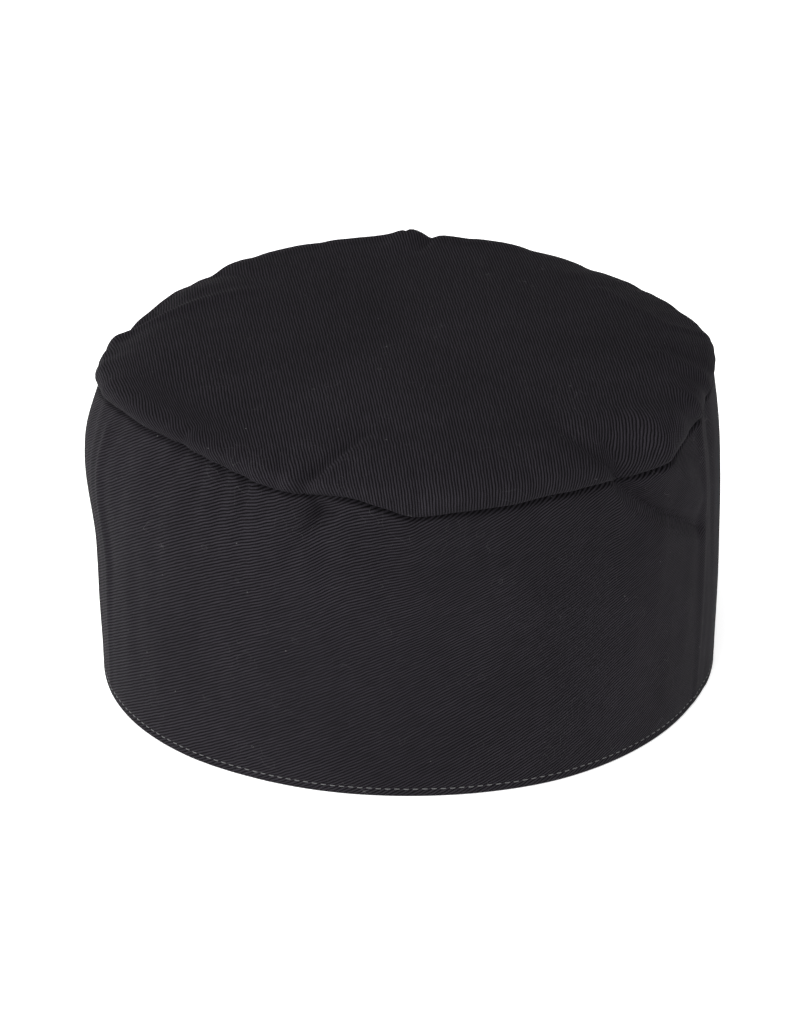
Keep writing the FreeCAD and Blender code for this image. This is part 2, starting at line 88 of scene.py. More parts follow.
VENT_TAPE = 6.0
VENT_HALF = VENT_TAPE_HIGH[0] - VENT_TAPE
VENT_SPRING = VENT_TAPE_HIGH[2] - VENT_TAPE - VENT_HALF
SWEAT_END = 144.0
PADDING_FACE = 91.4
SEAM_TAPE_FACE = 91.55
VENT_TAPE_LOW_RADIUS = 92.7
VENT_TAPE_FACE = 95.5
HOOK_TAPE_RADII = (94.35, 95.75)
LOOP_TAPE_RADII = (92.7, 94.1)
STITCH_PITCH = 2.9
THREAD = 0.17
FINE_THREAD = 0.14
STITCH_BURIED = 0.42
SWEAT_COLUMNS = 640
CLEARANCE = 0.03
WALL_COLUMNS = 480
SEAM_TURN_IN = 1.9
CROWN_TUCK = 2.2
TAPE_LEAF = 0.42
PILE_SINK = 0.05
SEWN_IN = 0.1


# ---------------------------------------------------------------- curves


def cubic(x, knots, rows):
    """The cubic through a row of values at each knot, at x. The rows may differ from point to point."""
    knots = np.asarray(knots, float)
    rows = np.array([np.broadcast_to(row, np.shape(x)) for row in rows], float)
    x = np.clip(x, knots[0], knots[-1])
    i = np.clip(np.searchsorted(knots, x, side="right") - 1, 0, len(knots) - 2)
    slopes = np.gradient(rows, knots, axis=0)
    flat = np.arange(rows[0].size).reshape(np.shape(x))

    def pick(table, index):
        return table.reshape(len(knots), -1)[index, flat]

    step = knots[i + 1] - knots[i]
    t = (x - knots[i]) / step
    return (
        pick(rows, i) * (1 + 2 * t) * (1 - t) ** 2
        + pick(slopes, i) * step * t * (1 - t) ** 2
        + pick(rows, i + 1) * t * t * (3 - 2 * t)
        + pick(slopes, i + 1) * step * t * t * (t - 1)
    )


def around(*points):
    """A smooth closed curve through (turn, value) points, as a function of the turn."""
    turns, values = np.array(points, float).T
    turns = np.concatenate([turns - 360, turns, turns + 360])
    values = np.tile(values, 3)
    steps = np.diff(turns)
    rises = np.diff(values) / steps
    slopes = np.zeros_like(values)
    product = rises[:-1] * rises[1:]
    steady = product > 0
    slopes[1:-1][steady] = 2 * product[steady] / (rises[:-1] + rises[1:])[steady]

    def at(turn):
        turn = wrap(turn)
        i = np.searchsorted(turns, turn, side="right") - 1
        t = (turn - turns[i]) / steps[i]
        return (
            values[i] * (1 + 2 * t) * (1 - t) ** 2
            + slopes[i] * steps[i] * t * (1 - t) ** 2
            + values[i + 1] * t * t * (3 - 2 * t)
            + slopes[i + 1] * steps[i] * t * t * (t - 1)
        )

    return at


def wrap(turn):
    """The same turn between -180 and 180."""
    return (np.asarray(turn, float) + 180.0) % 360.0 - 180.0


def ramp(x, start, end):
    """0 before start and 1 after end, smooth between."""
    t = np.clip((x - start) / (end - start), 0, 1)
    return t * t * (3 - 2 * t)


def bump(distance, width):
    """1 at no distance, falling smoothly away over about the width."""
    return np.exp(-((distance / width) ** 2))


def to_segments(x, y, path):
    """How far each point is from a path, and the share of the path up to the nearest place on it."""
    best = np.full(np.shape(x), 1e9)
    share = np.zeros(np.shape(x))
    runs = len(path) - 1
    for number, ((x0, y0), (x1, y1)) in enumerate(zip(path, path[1:])):
        dx, dy = x1 - x0, y1 - y0
        t = np.clip(((x - x0) * dx + (y - y0) * dy) / (dx * dx + dy * dy), 0, 1)
        distance = np.hypot(x - x0 - t * dx, y - y0 - t * dy)
        closer = distance < best
        best = np.where(closer, distance, best)
        share = np.where(closer, (number + t) / runs, share)
    return best, share


# ---------------------------------------------------------------- the creased cloth of the wall

# How the wall stands off its true cylinder, round the cap at four heights.
HEM_SHIFT = around(
    (-180, 0), (-150, 0), (-120, -0.3), (-90, -0.7), (-60, -0.1), (-45, -0.3), (-28, -1.2), (0, -1.5),
    (14, -1.0), (30, -0.2), (50, -0.6), (67, -0.8), (80, 0.3), (95, 1.2), (120, 0.5), (150, 0),
)
MIDDLE_SHIFT = around(
    (-180, 0), (-150, 0), (-120, 0), (-90, 0.1), (-72, 0.5), (-55, 0.3), (-35, 0.6), (-14, 0.9), (3, -0.9),
    (20, 0.8), (38, 0.2), (58, 0.8), (75, 1.2), (90, 1.9), (120, 0.8), (150, 0.2),
)
HIGH_SHIFT = around(
    (-180, 0.3), (-150, 0.8), (-120, 1.8), (-90, 2.4), (-78, 2.3), (-60, 1.0), (-45, 0.6), (-25, 0.9),
    (-8, 0.6), (4, 0.0), (20, 0.8), (36, 0.2), (44, -0.4), (56, 1.0), (68, 0.5), (80, 0.4), (92, 0.6),
    (120, 1.0), (150, 0.5),
)
SEAM_SHIFT = around(
    (-180, -1.2), (-150, -1), (-120, -1.5), (-90, -2), (-77, -2.4), (-65, -3.4), (-47, -2.8), (-33, -1.6),
    (-20, -1.1), (-8, -0.9), (2, -1.2), (15, -0.5), (30, -0.5), (38, -0.8), (44, -2.2), (54, -0.8),
    (66, -1.2), (78, -1.7), (92, -1.6), (105, -1.1), (118, -1.2), (150, -1),
)
SHIFT_HEIGHTS = (0.0, 45.0, 84.0, 100.0)

# The height of the crown's seam round the cap.
SEAM_HEIGHT = around(
    (-180, 97.5), (-160, 97), (-145, 96), (-130, 93.5), (-115, 90.5), (-103, 92), (-90, 95), (-77, 97.5),
    (-65, 100), (-56, 101), (-46, 101.5), (-40, 101), (-32, 99.5), (-24, 97.2), (-19, 96.6), (-11, 97.6),
    (-5, 95), (2, 91.6), (9, 92.8), (18, 93.6), (26, 94.3), (32, 94), (38, 94), (43.5, 91.7), (49, 92),
    (57.5, 94.3), (64, 96.2), (70, 97.6), (78, 99.2), (86, 100.4), (96, 99.8), (106, 98), (118, 95.8),
    (130, 95), (142, 95.8), (160, 97.5),
)

# Short folds that hang from the seam: turn, depth, half width, reach down the wall, and lean of the fold.
SEAM_FOLDS = [
    (-66, 0.5, 3.2, 10, 0.0), (-58, 0.7, 3.0, 10, 0.1), (-51.5, 0.8, 2.6, 12, 0.1),
    (-45, 3.3, 2.8, 10, 0.4), (-39.5, 2.4, 2.5, 14, 0.15), (-34.6, 2.7, 2.8, 20, 0.05),
    (-29.8, 2.6, 2.5, 20, 0.0), (-25.6, 0.9, 2.2, 18, 0.0), (-17.0, 3.2, 3.2, 22, -0.2),
    (-8, 0.4, 3.0, 10, 0.0), (2.4, 1.1, 2.0, 5, 0.0), (13, 0.3, 3.0, 12, 0.0), (24, 0.6, 3.0, 9, 0.1),
    (34, 0.9, 4.2, 17, 0.0), (75, 0.5, 3.6, 16, 0.0), (88, 0.5, 3.4, 16, -0.1), (103, 0.6, 3.8, 18, 0.0),
    (117, 0.8, 3.2, 15, 0.1), (129, 0.6, 3.0, 17, 0.0), (142, 0.7, 3.6, 12, -0.1), (155, 0.5, 3.0, 12, 0.0),
    (168, 0.6, 3.0, 11, 0.0), (-168, 0.6, 3.2, 12, 0.1), (-153, 0.5, 3.0, 14, 0.0),
    (-139, 0.8, 3.4, 18, 0.1), (-126, 0.6, 3.0, 20, 0.0), (-111, 0.7, 3.6, 18, -0.1),
    (-93, 0.5, 3.4, 16, 0.0), (-79, 0.4, 3.4, 14, 0.0),
]

# Longer creases in the wall: a path of (turn, height), how far the cloth stands out, half width.
WALL_CREASES = [
    ([(42.5, 98), (50, 86), (59, 73), (67.5, 63)], -3.0, 2.8),
    ([(53, 98), (60, 88), (65, 76)], 2.2, 4.8),
    ([(68, 99), (68.5, 60), (69.5, 3)], 1.0, 2.0),
    ([(74, 97), (73.5, 60), (75, 3)], -0.6, 2.6),
    ([(-70.5, 92), (-71, 55), (-73, 4)], 0.8, 2.0),
    ([(-77, 88), (-77, 50), (-79, 10)], -0.4, 2.6),
    ([(-60, 84), (-66, 62), (-71, 40)], -0.5, 6.0),
    ([(36, 80), (46, 55), (52, 30)], -0.45, 8.0),
    ([(-14.5, 94), (-17, 88), (-20.5, 79)], -2.3, 3.2),
    ([(-3, 82), (0, 55), (2, 25)], -0.5, 8.0),
    ([(104, 88), (112, 62), (118, 30)], -0.8, 6.0),
    ([(-105, 90), (-112, 60), (-116, 25)], -0.7, 7.0),
    ([(-128, 95), (-133, 80), (-137, 55)], 0.7, 5.0),
    ([(132, 96), (137, 84), (140, 66)], 0.8, 5.0),
    ([(180, 101), (180, 66)], -1.6, 1.1),
]

# Slight unevenness of the whole wall: mm of swell, waves round the cap, waves up the wall.
WALL_SWELLS = [
    (0.22, 5, 0.6), (0.2, 9, -0.9), (0.16, 14, 0.8), (0.12, 23, -1.2), (0.08, 37, 1.5), (0.05, 61, -2.0),
]
SWELL_PHASES = rng.uniform(0, 2 * math.pi, len(WALL_SWELLS))

STITCH_DIP = 0.22
HEM_STITCH = 2.6


def near_closure(turn, height):
    """1 where the wall has to stay true, round the vent and its straps, and 0 elsewhere."""
    beside = ramp(np.abs(wrap(turn)), 138, 152)
    return beside * (1 - ramp(height, VENT_TAPE_HIGH[2], VENT_TAPE_HIGH[2] + 14))


def wall_shift(turn, height, folded=1.0):
    """How far the cloth stands off a wall point: outwards, and up. folded scales the seam's folds."""
    turn, height = np.broadcast_arrays(np.asarray(turn, float), np.asarray(height, float))
    level = np.clip(height, 0, BAND_TOP)
    curves = (HEM_SHIFT, MIDDLE_SHIFT, HIGH_SHIFT, SEAM_SHIFT)
    out = cubic(level, SHIFT_HEIGHTS, [curve(turn) for curve in curves])
    below = BAND_TOP - level
    for at, depth, width, reach, lean in SEAM_FOLDS:
        across = np.radians(wrap(turn - at)) * BAND_RADIUS + lean * below
        spread = width * (1 + below / (3 * reach))
        out = out - folded * depth * bump(across, spread) * np.exp(-below / reach)
    for path, stands, width in WALL_CREASES:
        arc = np.radians(wrap(turn - path[0][0])) * BAND_RADIUS
        flat = [(math.radians(t - path[0][0]) * BAND_RADIUS, z) for t, z in path]
        distance, share = to_segments(arc, level, flat)
        out = out + stands * bump(distance, width) * (1 - 0.55 * share)
    for (swell, round_waves, up_waves), phase in zip(WALL_SWELLS, SWELL_PHASES):
        wave = np.radians(turn) * round_waves + up_waves * level / BAND_TOP * math.pi + phase
        out = out + swell * np.sin(wave) * ramp(level, 0, 30)
    out = out - STITCH_DIP * bump(level - HEM_STITCH, 0.8)
    free = 1 - near_closure(turn, level)
    still = 28 + 42 * ramp(np.abs(turn), 125, 150)
    up = (SEAM_HEIGHT(turn) - BAND_TOP) * ramp(level, still, BAND_TOP + 12)
    return out * free, up / ramp(BAND_TOP, still, BAND_TOP + 12)


def wall_points(turn, height, radius):
    """Places on the creased wall, in the row frame."""
    turn, height, radius = np.broadcast_arrays(*(np.asarray(v, float) for v in (turn, height, radius)))
    out, up = wall_shift(turn, height)
    angle = np.radians(turn)
    r = radius + out
    return np.stack([r * np.sin(angle), -r * np.cos(angle), height + up], -1)


# ---------------------------------------------------------------- the creased cloth of the crown

# The top of the roll that the crown makes inside its seam, round the cap.
RIM_HEIGHT = around(
    (-180, 105.8), (-172, 105), (-161, 104.3), (-150, 103.4), (-143, 103), (-138, 100.9), (-127, 100.2),
    (-120, 98.4), (-112, 97), (-104, 98), (-95, 100), (-85, 102), (-70, 104), (-55, 105.2), (-45, 105.2),
    (-30, 103.8), (-19, 102), (-8, 101.2), (2, 99.6), (15, 100), (30, 100.6), (38, 100), (44, 98.6),
    (52, 101), (62, 103), (75, 104.6), (90, 104), (100, 102.8), (112, 102), (125, 101.3), (138, 101.8),
    (150, 103.2), (160, 104.8), (171, 105.2), (176, 105.4),
)
# How far the crown's cloth hangs out over its seam.
OVERHANG = around(
    (-180, 1.2), (-150, 1.0), (-120, 1.2), (-95, 1.2), (-80, 0.7), (-60, 1.1), (-40, 0.9), (-20, 0.9),
    (0, 0.7), (20, 0.7), (38, 0.7), (44, 0.5), (52, 0.7), (62, 0.3), (72, 0.1), (82, 0.1), (94, 0.4),
    (110, 1.0), (150, 1.2),
)
PLATEAU = 107.2
APEX = 109.6
# Rings that shape the crown: where each is on the way from the seam, and the radii of the inner ones.
CROWN_KNOTS = (0.0, 0.016, 0.034, 0.062, 0.11, 0.2, 0.37, 0.65, 1.0)
CROWN_RADII = (80.0, 62.0, 34.0, 0.0)

# Creases in the crown, in plan: a path of (x, y) from the seam inwards, how far it stands up, half width.
CROWN_CREASES = [
    ([(66, -70), (59, -70), (52, -66), (46, -61.5)], -4.2, 3.0),
    ([(77, -49), (66, -54), (55, -54)], 2.3, 7.0),
    ([(-31, -91), (-26, -85), (-18, -75), (-12, -67)], -2.8, 2.4),
    ([(-24, -90), (-19, -83), (-12, -76)], 0.9, 3.0),
    ([(-38, -88), (-36, -82), (-33, -75)], -1.5, 2.0),
    ([(-34, -87), (-30, -80)], 0.8, 2.2),
    ([(3.5, -95), (4, -89)], -0.9, 2.2),
    ([(38, -86), (35, -80)], -0.6, 2.6),
    ([(-88, 24), (-75, 29), (-64, 34.5), (-50, 40)], 1.5, 3.6),
    ([(-84, 34), (-72, 38), (-60, 44)], -0.9, 5.0),
    ([(-60, 66), (-50, 56), (-42, 50)], -0.9, 4.0),
    ([(60.5, 44), (72, 27), (80, 17), (90, 15)], 0.7, 2.6),
    ([(54, 52), (66, 34), (76, 22)], -0.5, 4.0),
    ([(76, -9), (84, -17), (92, -21)], 0.7, 2.4),
    ([(80, -4), (88, -12), (93, -14)], -0.5, 3.0),
    ([(8.5, 95), (7.5, 85), (4, 74)], -1.5, 2.0),
    ([(1, 94), (0, 84), (-4, 76)], 1.8, 4.2),
    ([(-52, -40), (-20, -46), (20, -44), (52, -30)], 0.3, 14.0),
    ([(-40, 10), (-5, 4), (35, 12)], -0.5, 16.0),
]
# Ease taken up at the seam: turn, depth and half width of the small puckers that run into the crown.
CROWN_PUCKERS = [
    (-163, 0.5, 3.4), (-148, 0.4, 3.0), (-133, 0.5, 4.0), (-92, 0.3, 3.6), (-52, 0.3, 2.8), (-11, 0.3, 2.4),
    (12, 0.25, 2.2), (31, 0.3, 2.4), (74, 0.4, 3.2), (98, 0.35, 3.0), (114, 0.5, 4.0), (127, 0.4, 2.8),
    (141, 0.45, 3.6), (154, 0.4, 3.0), (167, 0.4, 2.8),
]
PUCKER_REACH = 11.0


def crown_points(turn, inward):
    """Places on the middle of the crown's cloth. inward is 0 at the seam and 1 at the centre of the crown."""
    turn, inward = np.broadcast_arrays(np.asarray(turn, float), np.asarray(inward, float))
    out, up = wall_shift(turn, np.full(turn.shape, BAND_TOP), 0.25)
    seam_radius = BAND_RADIUS + out
    seam_height = BAND_TOP + up + 0.35
    rim = RIM_HEIGHT(turn)
    over = OVERHANG(turn)
    rise = rim - seam_height
    radii = [
        seam_radius - CROWN_TUCK,
        seam_radius + over * 0.55,
        seam_radius + over,
        seam_radius + over - 1.3,
        seam_radius - 4.4,
        *(np.full(turn.shape, size) for size in CROWN_RADII),
    ]
    heights = [
        seam_height + 0.1,
        seam_height - 0.15,
        seam_height + 0.24 * rise,
        seam_height + 0.66 * rise,
        rim,
        rim * 0.45 + (PLATEAU - 0.6) * 0.55,
        PLATEAU + 0.1 * (rim - PLATEAU),
        np.full(turn.shape, APEX - 0.9),
        np.full(turn.shape, APEX),
    ]
    radius = np.maximum(cubic(inward, CROWN_KNOTS, radii), 0)
    height = cubic(inward, CROWN_KNOTS, heights)
    angle = np.radians(turn)
    x, y = radius * np.sin(angle), -radius * np.cos(angle)
    standing = np.zeros(turn.shape)
    for path, stands, width in CROWN_CREASES:
        distance, share = to_segments(x, y, path)
        standing = standing + stands * bump(distance, width) * (1 - 0.6 * share)
    from_seam = np.maximum(seam_radius - radius, 0)
    for at, depth, width in CROWN_PUCKERS:
        across = np.radians(wrap(turn - at)) * np.maximum(radius, 1)
        standing = standing - depth * bump(across, width) * np.exp(-from_seam / PUCKER_REACH)
    # At the seam the cloth is held, so creases fade there, and on the roll they run outwards as much as up.
    held = ramp(inward, 0.0, 0.03)
    outwards = 1 - ramp(inward, 0.03, 0.11)
    standing = standing * held
    radius = radius + standing * 0.75 * outwards
    height = height + standing * (1 - 0.55 * outwards)
    return np.stack([radius * np.sin(angle), -radius * np.cos(angle), height], -1)


# ---------------------------------------------------------------- materials


class Nodes:
    """A small helper that adds shader nodes and links them by name."""

    def __init__(self, name):
        self.material = bpy.data.materials.new(name)
        self.material.use_nodes = True
        self.tree = self.material.node_tree
        self.shader = self.tree.nodes["Principled BSDF"]

    def add(self, kind, **settings):
        node = self.tree.nodes.new(kind)
        for key, value in settings.items():
            setattr(node, key, value)
        return node

    def put(self, socket, value):
        if isinstance(value, bpy.types.NodeSocket):
            self.tree.links.new(value, socket)
        else:
            socket.default_value = value

    def math(self, operation, first, second=0.0, third=None):
        node = self.add("ShaderNodeMath", operation=operation)
        self.put(node.inputs[0], first)
        self.put(node.inputs[1], second)
        if third is not None:
            self.put(node.inputs[2], third)
        return node.outputs[0]

    def noise(self, vector, scale, detail=2.0, roughness=0.5):
        node = self.add("ShaderNodeTexNoise")
        self.put(node.inputs["Vector"], vector)
        self.put(node.inputs["Scale"], scale)
        self.put(node.inputs["Detail"], detail)
        self.put(node.inputs["Roughness"], roughness)
        return node.outputs["Fac"]

    def spread(self, value, low, high, to_low=0.0, to_high=1.0):
        """The value between low and high, spread over another range."""
        node = self.add("ShaderNodeMapRange")
        self.put(node.inputs["Value"], value)
        for key, number in zip(("From Min", "From Max", "To Min", "To Max"), (low, high, to_low, to_high)):
            node.inputs[key].default_value = number
        return node.outputs["Result"]

    def mix(self, factor, first, second):
        node = self.add("ShaderNodeMix", data_type="RGBA")
        self.put(node.inputs["Factor"], factor)
        self.put(node.inputs["A"], first)
        self.put(node.inputs["B"], second)
        return node.outputs["Result"]

    def cloth_coordinates(self, turned=0.0):
        """The piece's own flat coordinates, in millimetres, turned by an angle."""
        uv = self.add("ShaderNodeUVMap", uv_map="cloth")
        mapping = self.add("ShaderNodeMapping")
        self.put(mapping.inputs["Vector"], uv.outputs[0])
        mapping.inputs["Scale"].default_value = (METRE, METRE, METRE)
        mapping.inputs["Rotation"].default_value = (0, 0, -math.radians(turned))
        return mapping.outputs[0]

    def bumped(self, *layers):
        """Joins bump layers of (height, distance in mm, strength) and gives them to the shader."""
        normal = None
        for height, distance, strength in layers:
            node = self.add("ShaderNodeBump")
            node.inputs["Distance"].default_value = distance / METRE
            node.inputs["Strength"].default_value = strength
            self.put(node.inputs["Height"], height)
            if normal is not None:
                self.put(node.inputs["Normal"], normal)
            normal = node.outputs[0]
        self.put(self.shader.inputs["Normal"], normal)


def shade(value, tint=(1.03, 0.92, 1.14)):
    """A grey with the cloth's faint violet cast."""
    return (value * tint[0], value * tint[1], value * tint[2], 1.0)


def twill(name, rib_angle, dark=0.0010, light=0.0215, pitch=0.89, lint=True):
    """Polycotton twill: fine diagonal ribs of plied yarn, a little faded, with fluff caught on it."""
    float_length, float_step = 0.62, 0.37
    n = Nodes(name)
    flat = n.cloth_coordinates(rib_angle)
    axes = n.add("ShaderNodeSeparateXYZ")
    # Yarns waver slightly, so the ribs do.
    waver = n.noise(flat, 0.35, 2.0)
    n.put(axes.inputs[0], flat)
    across = n.math("ADD", axes.outputs["Y"], n.math("MULTIPLY", waver, 0.5))
    along = axes.outputs["X"]
    phase = n.math("MULTIPLY", across, 2 * math.pi / pitch)
    rib = n.spread(n.math("SINE", phase), -1, 1)
    rib = n.math("POWER", rib, 0.8)
    # Each rib is a stack of short floats, stepped from one rib to the next.
    step = n.math("MULTIPLY", n.math("FLOOR", n.math("DIVIDE", across, pitch)), float_step)
    float_phase = n.math("MULTIPLY", n.math("ADD", along, step), 2 * math.pi / float_length)
    yarn = n.spread(n.math("SINE", float_phase), -1, 1)
    weave = n.math("MULTIPLY", rib, n.math("ADD", n.math("MULTIPLY", yarn, 0.22), 0.78))
    # Slubs and shading along the yarns.
    stretched = n.add("ShaderNodeMapping")
    n.put(stretched.inputs["Vector"], flat)
    stretched.inputs["Scale"].default_value = (0.18, 1.1, 1.0)
    slub = n.noise(stretched.outputs[0], 1.0, 3.0, 0.65)
    fuzz = n.noise(flat, 2.6, 3.0, 0.7)
    worn = n.noise(flat, 0.02, 3.0, 0.6)
    tone = n.math("MULTIPLY", weave, n.spread(slub, 0.25, 0.8, 0.65, 1.25))
    tone = n.math("ADD", tone, n.spread(fuzz, 0.35, 0.75, -0.12, 0.16))
    tone = n.math("MULTIPLY", tone, n.spread(worn, 0.3, 0.7, 0.82, 1.15))
    colour = n.mix(tone, shade(dark), shade(light))
    if lint:
        # Specks of lint, and a few loose hairs.
        specks = n.add("ShaderNodeTexVoronoi", feature="F1")
        n.put(specks.inputs["Vector"], flat)
        specks.inputs["Scale"].default_value = 0.16
        scrambled = n.math("FRACT", n.math("MULTIPLY", specks.outputs["Color"], 7.31))
        chosen = n.math("GREATER_THAN", scrambled, 0.62)
        small = n.spread(specks.outputs["Distance"], 0.04, 0.018)
        speckled = n.math("MULTIPLY", n.math("MULTIPLY", small, chosen), 0.4)
        colour = n.mix(speckled, colour, shade(0.25, (1, 1, 1)))
        warped = n.add("ShaderNodeTexWave", wave_type="BANDS")
        n.put(warped.inputs["Vector"], flat)
        warped.inputs["Scale"].default_value = 0.035
        warped.inputs["Distortion"].default_value = 60.0
        warped.inputs["Detail Scale"].default_value = 1.4
        hairs = n.spread(warped.outputs["Fac"], 0.9993, 1.0)
        patchy = n.spread(n.noise(flat, 0.06, 2.0), 0.52, 0.62)
        hairy = n.math("MULTIPLY", n.math("MULTIPLY", hairs, patchy), 0.24)
        colour = n.mix(hairy, colour, shade(0.2, (1, 1, 1)))
    n.put(n.shader.inputs["Base Color"], colour)
    n.put(n.shader.inputs["Roughness"], n.spread(rib, 0, 1, 0.92, 0.74))
    n.shader.inputs["Specular IOR Level"].default_value = 0.05
    n.shader.inputs["Sheen Weight"].default_value = 0.006
    n.shader.inputs["Sheen Roughness"].default_value = 0.45
    n.shader.inputs["Sheen Tint"].default_value = (0.95, 0.88, 1.0, 1.0)
    n.bumped((weave, 0.16, 0.85), (fuzz, 0.08, 0.4))
    return n.material


def woven_tape(name, value=0.016, rib=0.7):
    """Plain bias tape: a fine, flat weave."""
    n = Nodes(name)
    flat = n.cloth_coordinates(45.0)
    axes = n.add("ShaderNodeSeparateXYZ")
    n.put(axes.inputs[0], flat)
    warp = n.math("SINE", n.math("MULTIPLY", axes.outputs["X"], 2 * math.pi / rib))
    weft = n.math("SINE", n.math("MULTIPLY", axes.outputs["Y"], 2 * math.pi / rib))
    weave = n.spread(n.math("MULTIPLY", warp, weft), -1, 1)
    fuzz = n.noise(flat, 1.8, 3.0, 0.7)
    tone = n.math("MULTIPLY", n.spread(weave, 0, 1, 0.55, 1.2), n.spread(fuzz, 0.3, 0.7, 0.7, 1.25))
    n.put(n.shader.inputs["Base Color"], n.mix(tone, shade(value * 0.4), shade(value * 1.5)))
    n.shader.inputs["Roughness"].default_value = 0.82
    n.shader.inputs["Specular IOR Level"].default_value = 0.3
    n.shader.inputs["Sheen Weight"].default_value = 0.12
    n.shader.inputs["Sheen Roughness"].default_value = 0.4
    n.bumped((weave, 0.12, 0.7), (fuzz, 0.1, 0.4))
    return n.material


def fleecy(name, value, scale, tint=(1.0, 0.98, 1.05), sheen=0.25):
    """Soft pile, felt or terry: clumps of fibres with dark gaps."""
    n = Nodes(name)
    place = n.add("ShaderNodeTexCoord")
    cells = n.add("ShaderNodeTexVoronoi", feature="SMOOTH_F1")
    n.put(cells.inputs["Vector"], place.outputs["Object"])
    cells.inputs["Scale"].default_value = METRE / scale
    fine = n.noise(place.outputs["Object"], METRE / scale * 3.2, 3.0, 0.7)
    clump = n.spread(cells.outputs["Distance"], 0.0, 0.75, 1.0, 0.0)
    tone = n.math("MULTIPLY", clump, n.spread(fine, 0.25, 0.75, 0.5, 1.3))
    n.put(n.shader.inputs["Base Color"], n.mix(tone, shade(value * 0.4, tint), shade(value * 1.5, tint)))
    n.shader.inputs["Roughness"].default_value = 0.95
    n.shader.inputs["Specular IOR Level"].default_value = 0.2
    n.shader.inputs["Sheen Weight"].default_value = sheen
    n.shader.inputs["Sheen Roughness"].default_value = 0.5
    n.bumped((clump, 0.35, 0.8), (fine, 0.15, 0.5))
    return n.material


def thread(name, value, tint=(1.0, 1.0, 1.02)):
    """Plied thread: slanting highlights round each stitch."""
    n = Nodes(name)
    flat = n.cloth_coordinates()
    axes = n.add("ShaderNodeSeparateXYZ")
    n.put(axes.inputs[0], flat)
    run = n.math("MULTIPLY", axes.outputs["X"], 2 * math.pi / 0.42)
    slant = n.math("ADD", run, n.math("MULTIPLY", axes.outputs["Y"], 5.0))
    ply = n.spread(n.math("SINE", slant), -1, 1)
    n.put(n.shader.inputs["Base Color"], n.mix(ply, shade(value * 0.55, tint), shade(value * 1.2, tint)))
    n.shader.inputs["Roughness"].default_value = 0.55
    n.shader.inputs["Sheen Weight"].default_value = 0.1
    n.bumped((ply, 0.06, 0.8))
    return n.material


def satin(name):
    """The label's woven satin."""
    n = Nodes(name)
    flat = n.cloth_coordinates()
    axes = n.add("ShaderNodeSeparateXYZ")
    n.put(axes.inputs[0], flat)
    rows = n.spread(n.math("SINE", n.math("MULTIPLY", axes.outputs["Y"], 2 * math.pi / 0.3)), -1, 1)
    soiled = n.noise(flat, 0.12, 3.0, 0.6)
    tone = n.math("MULTIPLY", n.spread(rows, 0, 1, 0.85, 1.0), n.spread(soiled, 0.3, 0.7, 0.86, 1.0))
    n.put(n.shader.inputs["Base Color"], n.mix(tone, (0.2, 0.19, 0.17, 1), (0.68, 0.67, 0.63, 1)))
    n.shader.inputs["Roughness"].default_value = 0.42
    n.shader.inputs["Anisotropic"].default_value = 0.4
    n.bumped((rows, 0.05, 0.6))
    return n.material


def nylon(name):
    """Black moulded nylon of the hooks."""
    n = Nodes(name)
    place = n.add("ShaderNodeTexCoord")
    scuff = n.noise(place.outputs["Object"], 900.0, 3.0, 0.7)
    n.put(n.shader.inputs["Base Color"], n.mix(scuff, shade(0.012), shade(0.035)))
    n.put(n.shader.inputs["Roughness"], n.spread(scuff, 0.3, 0.7, 0.35, 0.55))
    n.bumped((scuff, 0.03, 0.4))
    return n.material


def floor_material():
    """Bright, faintly mottled white."""
    n = Nodes("studio_floor")
    place = n.add("ShaderNodeTexCoord")
    mottle = n.noise(place.outputs["Object"], 3.0, 4.0, 0.6)
    n.put(n.shader.inputs["Base Color"], n.mix(mottle, (0.86, 0.86, 0.86, 1), (0.9, 0.9, 0.9, 1)))
    n.shader.inputs["Roughness"].default_value = 0.85
    n.shader.inputs["Emission Color"].default_value = (1, 1, 1, 1)
    n.shader.inputs["Emission Strength"].default_value = 0.62
    n.shader.inputs["Specular IOR Level"].default_value = 0.1
    return n.material


BAND_RIBS = 28.0
CROWN_RIBS = 97.0
MATERIALS = {
    "band_twill": twill("band_twill", BAND_RIBS),
    "crown_twill": twill("crown_twill", CROWN_RIBS),
    "lining_twill": twill("lining_twill", 180 - BAND_RIBS, 0.003, 0.018, lint=False),
    "strap_twill": twill("strap_twill", 45.0, lint=False),
    "binding_tape": woven_tape("binding_tape"),
    "interlining": fleecy("interlining", 0.5, 1.1, (1.0, 0.99, 0.95), 0.1),
    "terry": fleecy("terry", 0.022, 1.5),
    "loop_tape": fleecy("loop_tape", 0.018, 0.7),
    "hook_tape": nylon("hook_tape"),
    "label_satin": satin("label_satin"),
    "topstitch_thread": thread("topstitch_thread", 0.075),
    "sewing_thread": thread("sewing_thread", 0.02),
}


# ---------------------------------------------------------------- meshes


def make_piece(name, points, faces, slot, body, nodes, uv=None):
    """A mesh piece from points in millimetres, with its material, its body and its CAD nodes."""
    mesh = bpy.data.meshes.new(name)
    mesh.from_pydata((np.asarray(points) / METRE).tolist(), [], [list(map(int, f)) for f in faces])
    if uv is not None:
        layer = mesh.uv_layers.new(name="cloth")
        index = np.empty(len(mesh.loops), np.int32)
        mesh.loops.foreach_get("vertex_index", index)
        layer.data.foreach_set("uv", (np.asarray(uv)[index] / METRE).astype(np.float32).ravel())
    mesh.shade_smooth()
    mesh.materials.append(MATERIALS[slot])
    mesh.validate()
    piece = bpy.data.objects.new(name, mesh)
    bpy.context.scene.collection.objects.link(piece)
    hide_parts(*nodes)
    if body:
        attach(piece, body)
    return piece


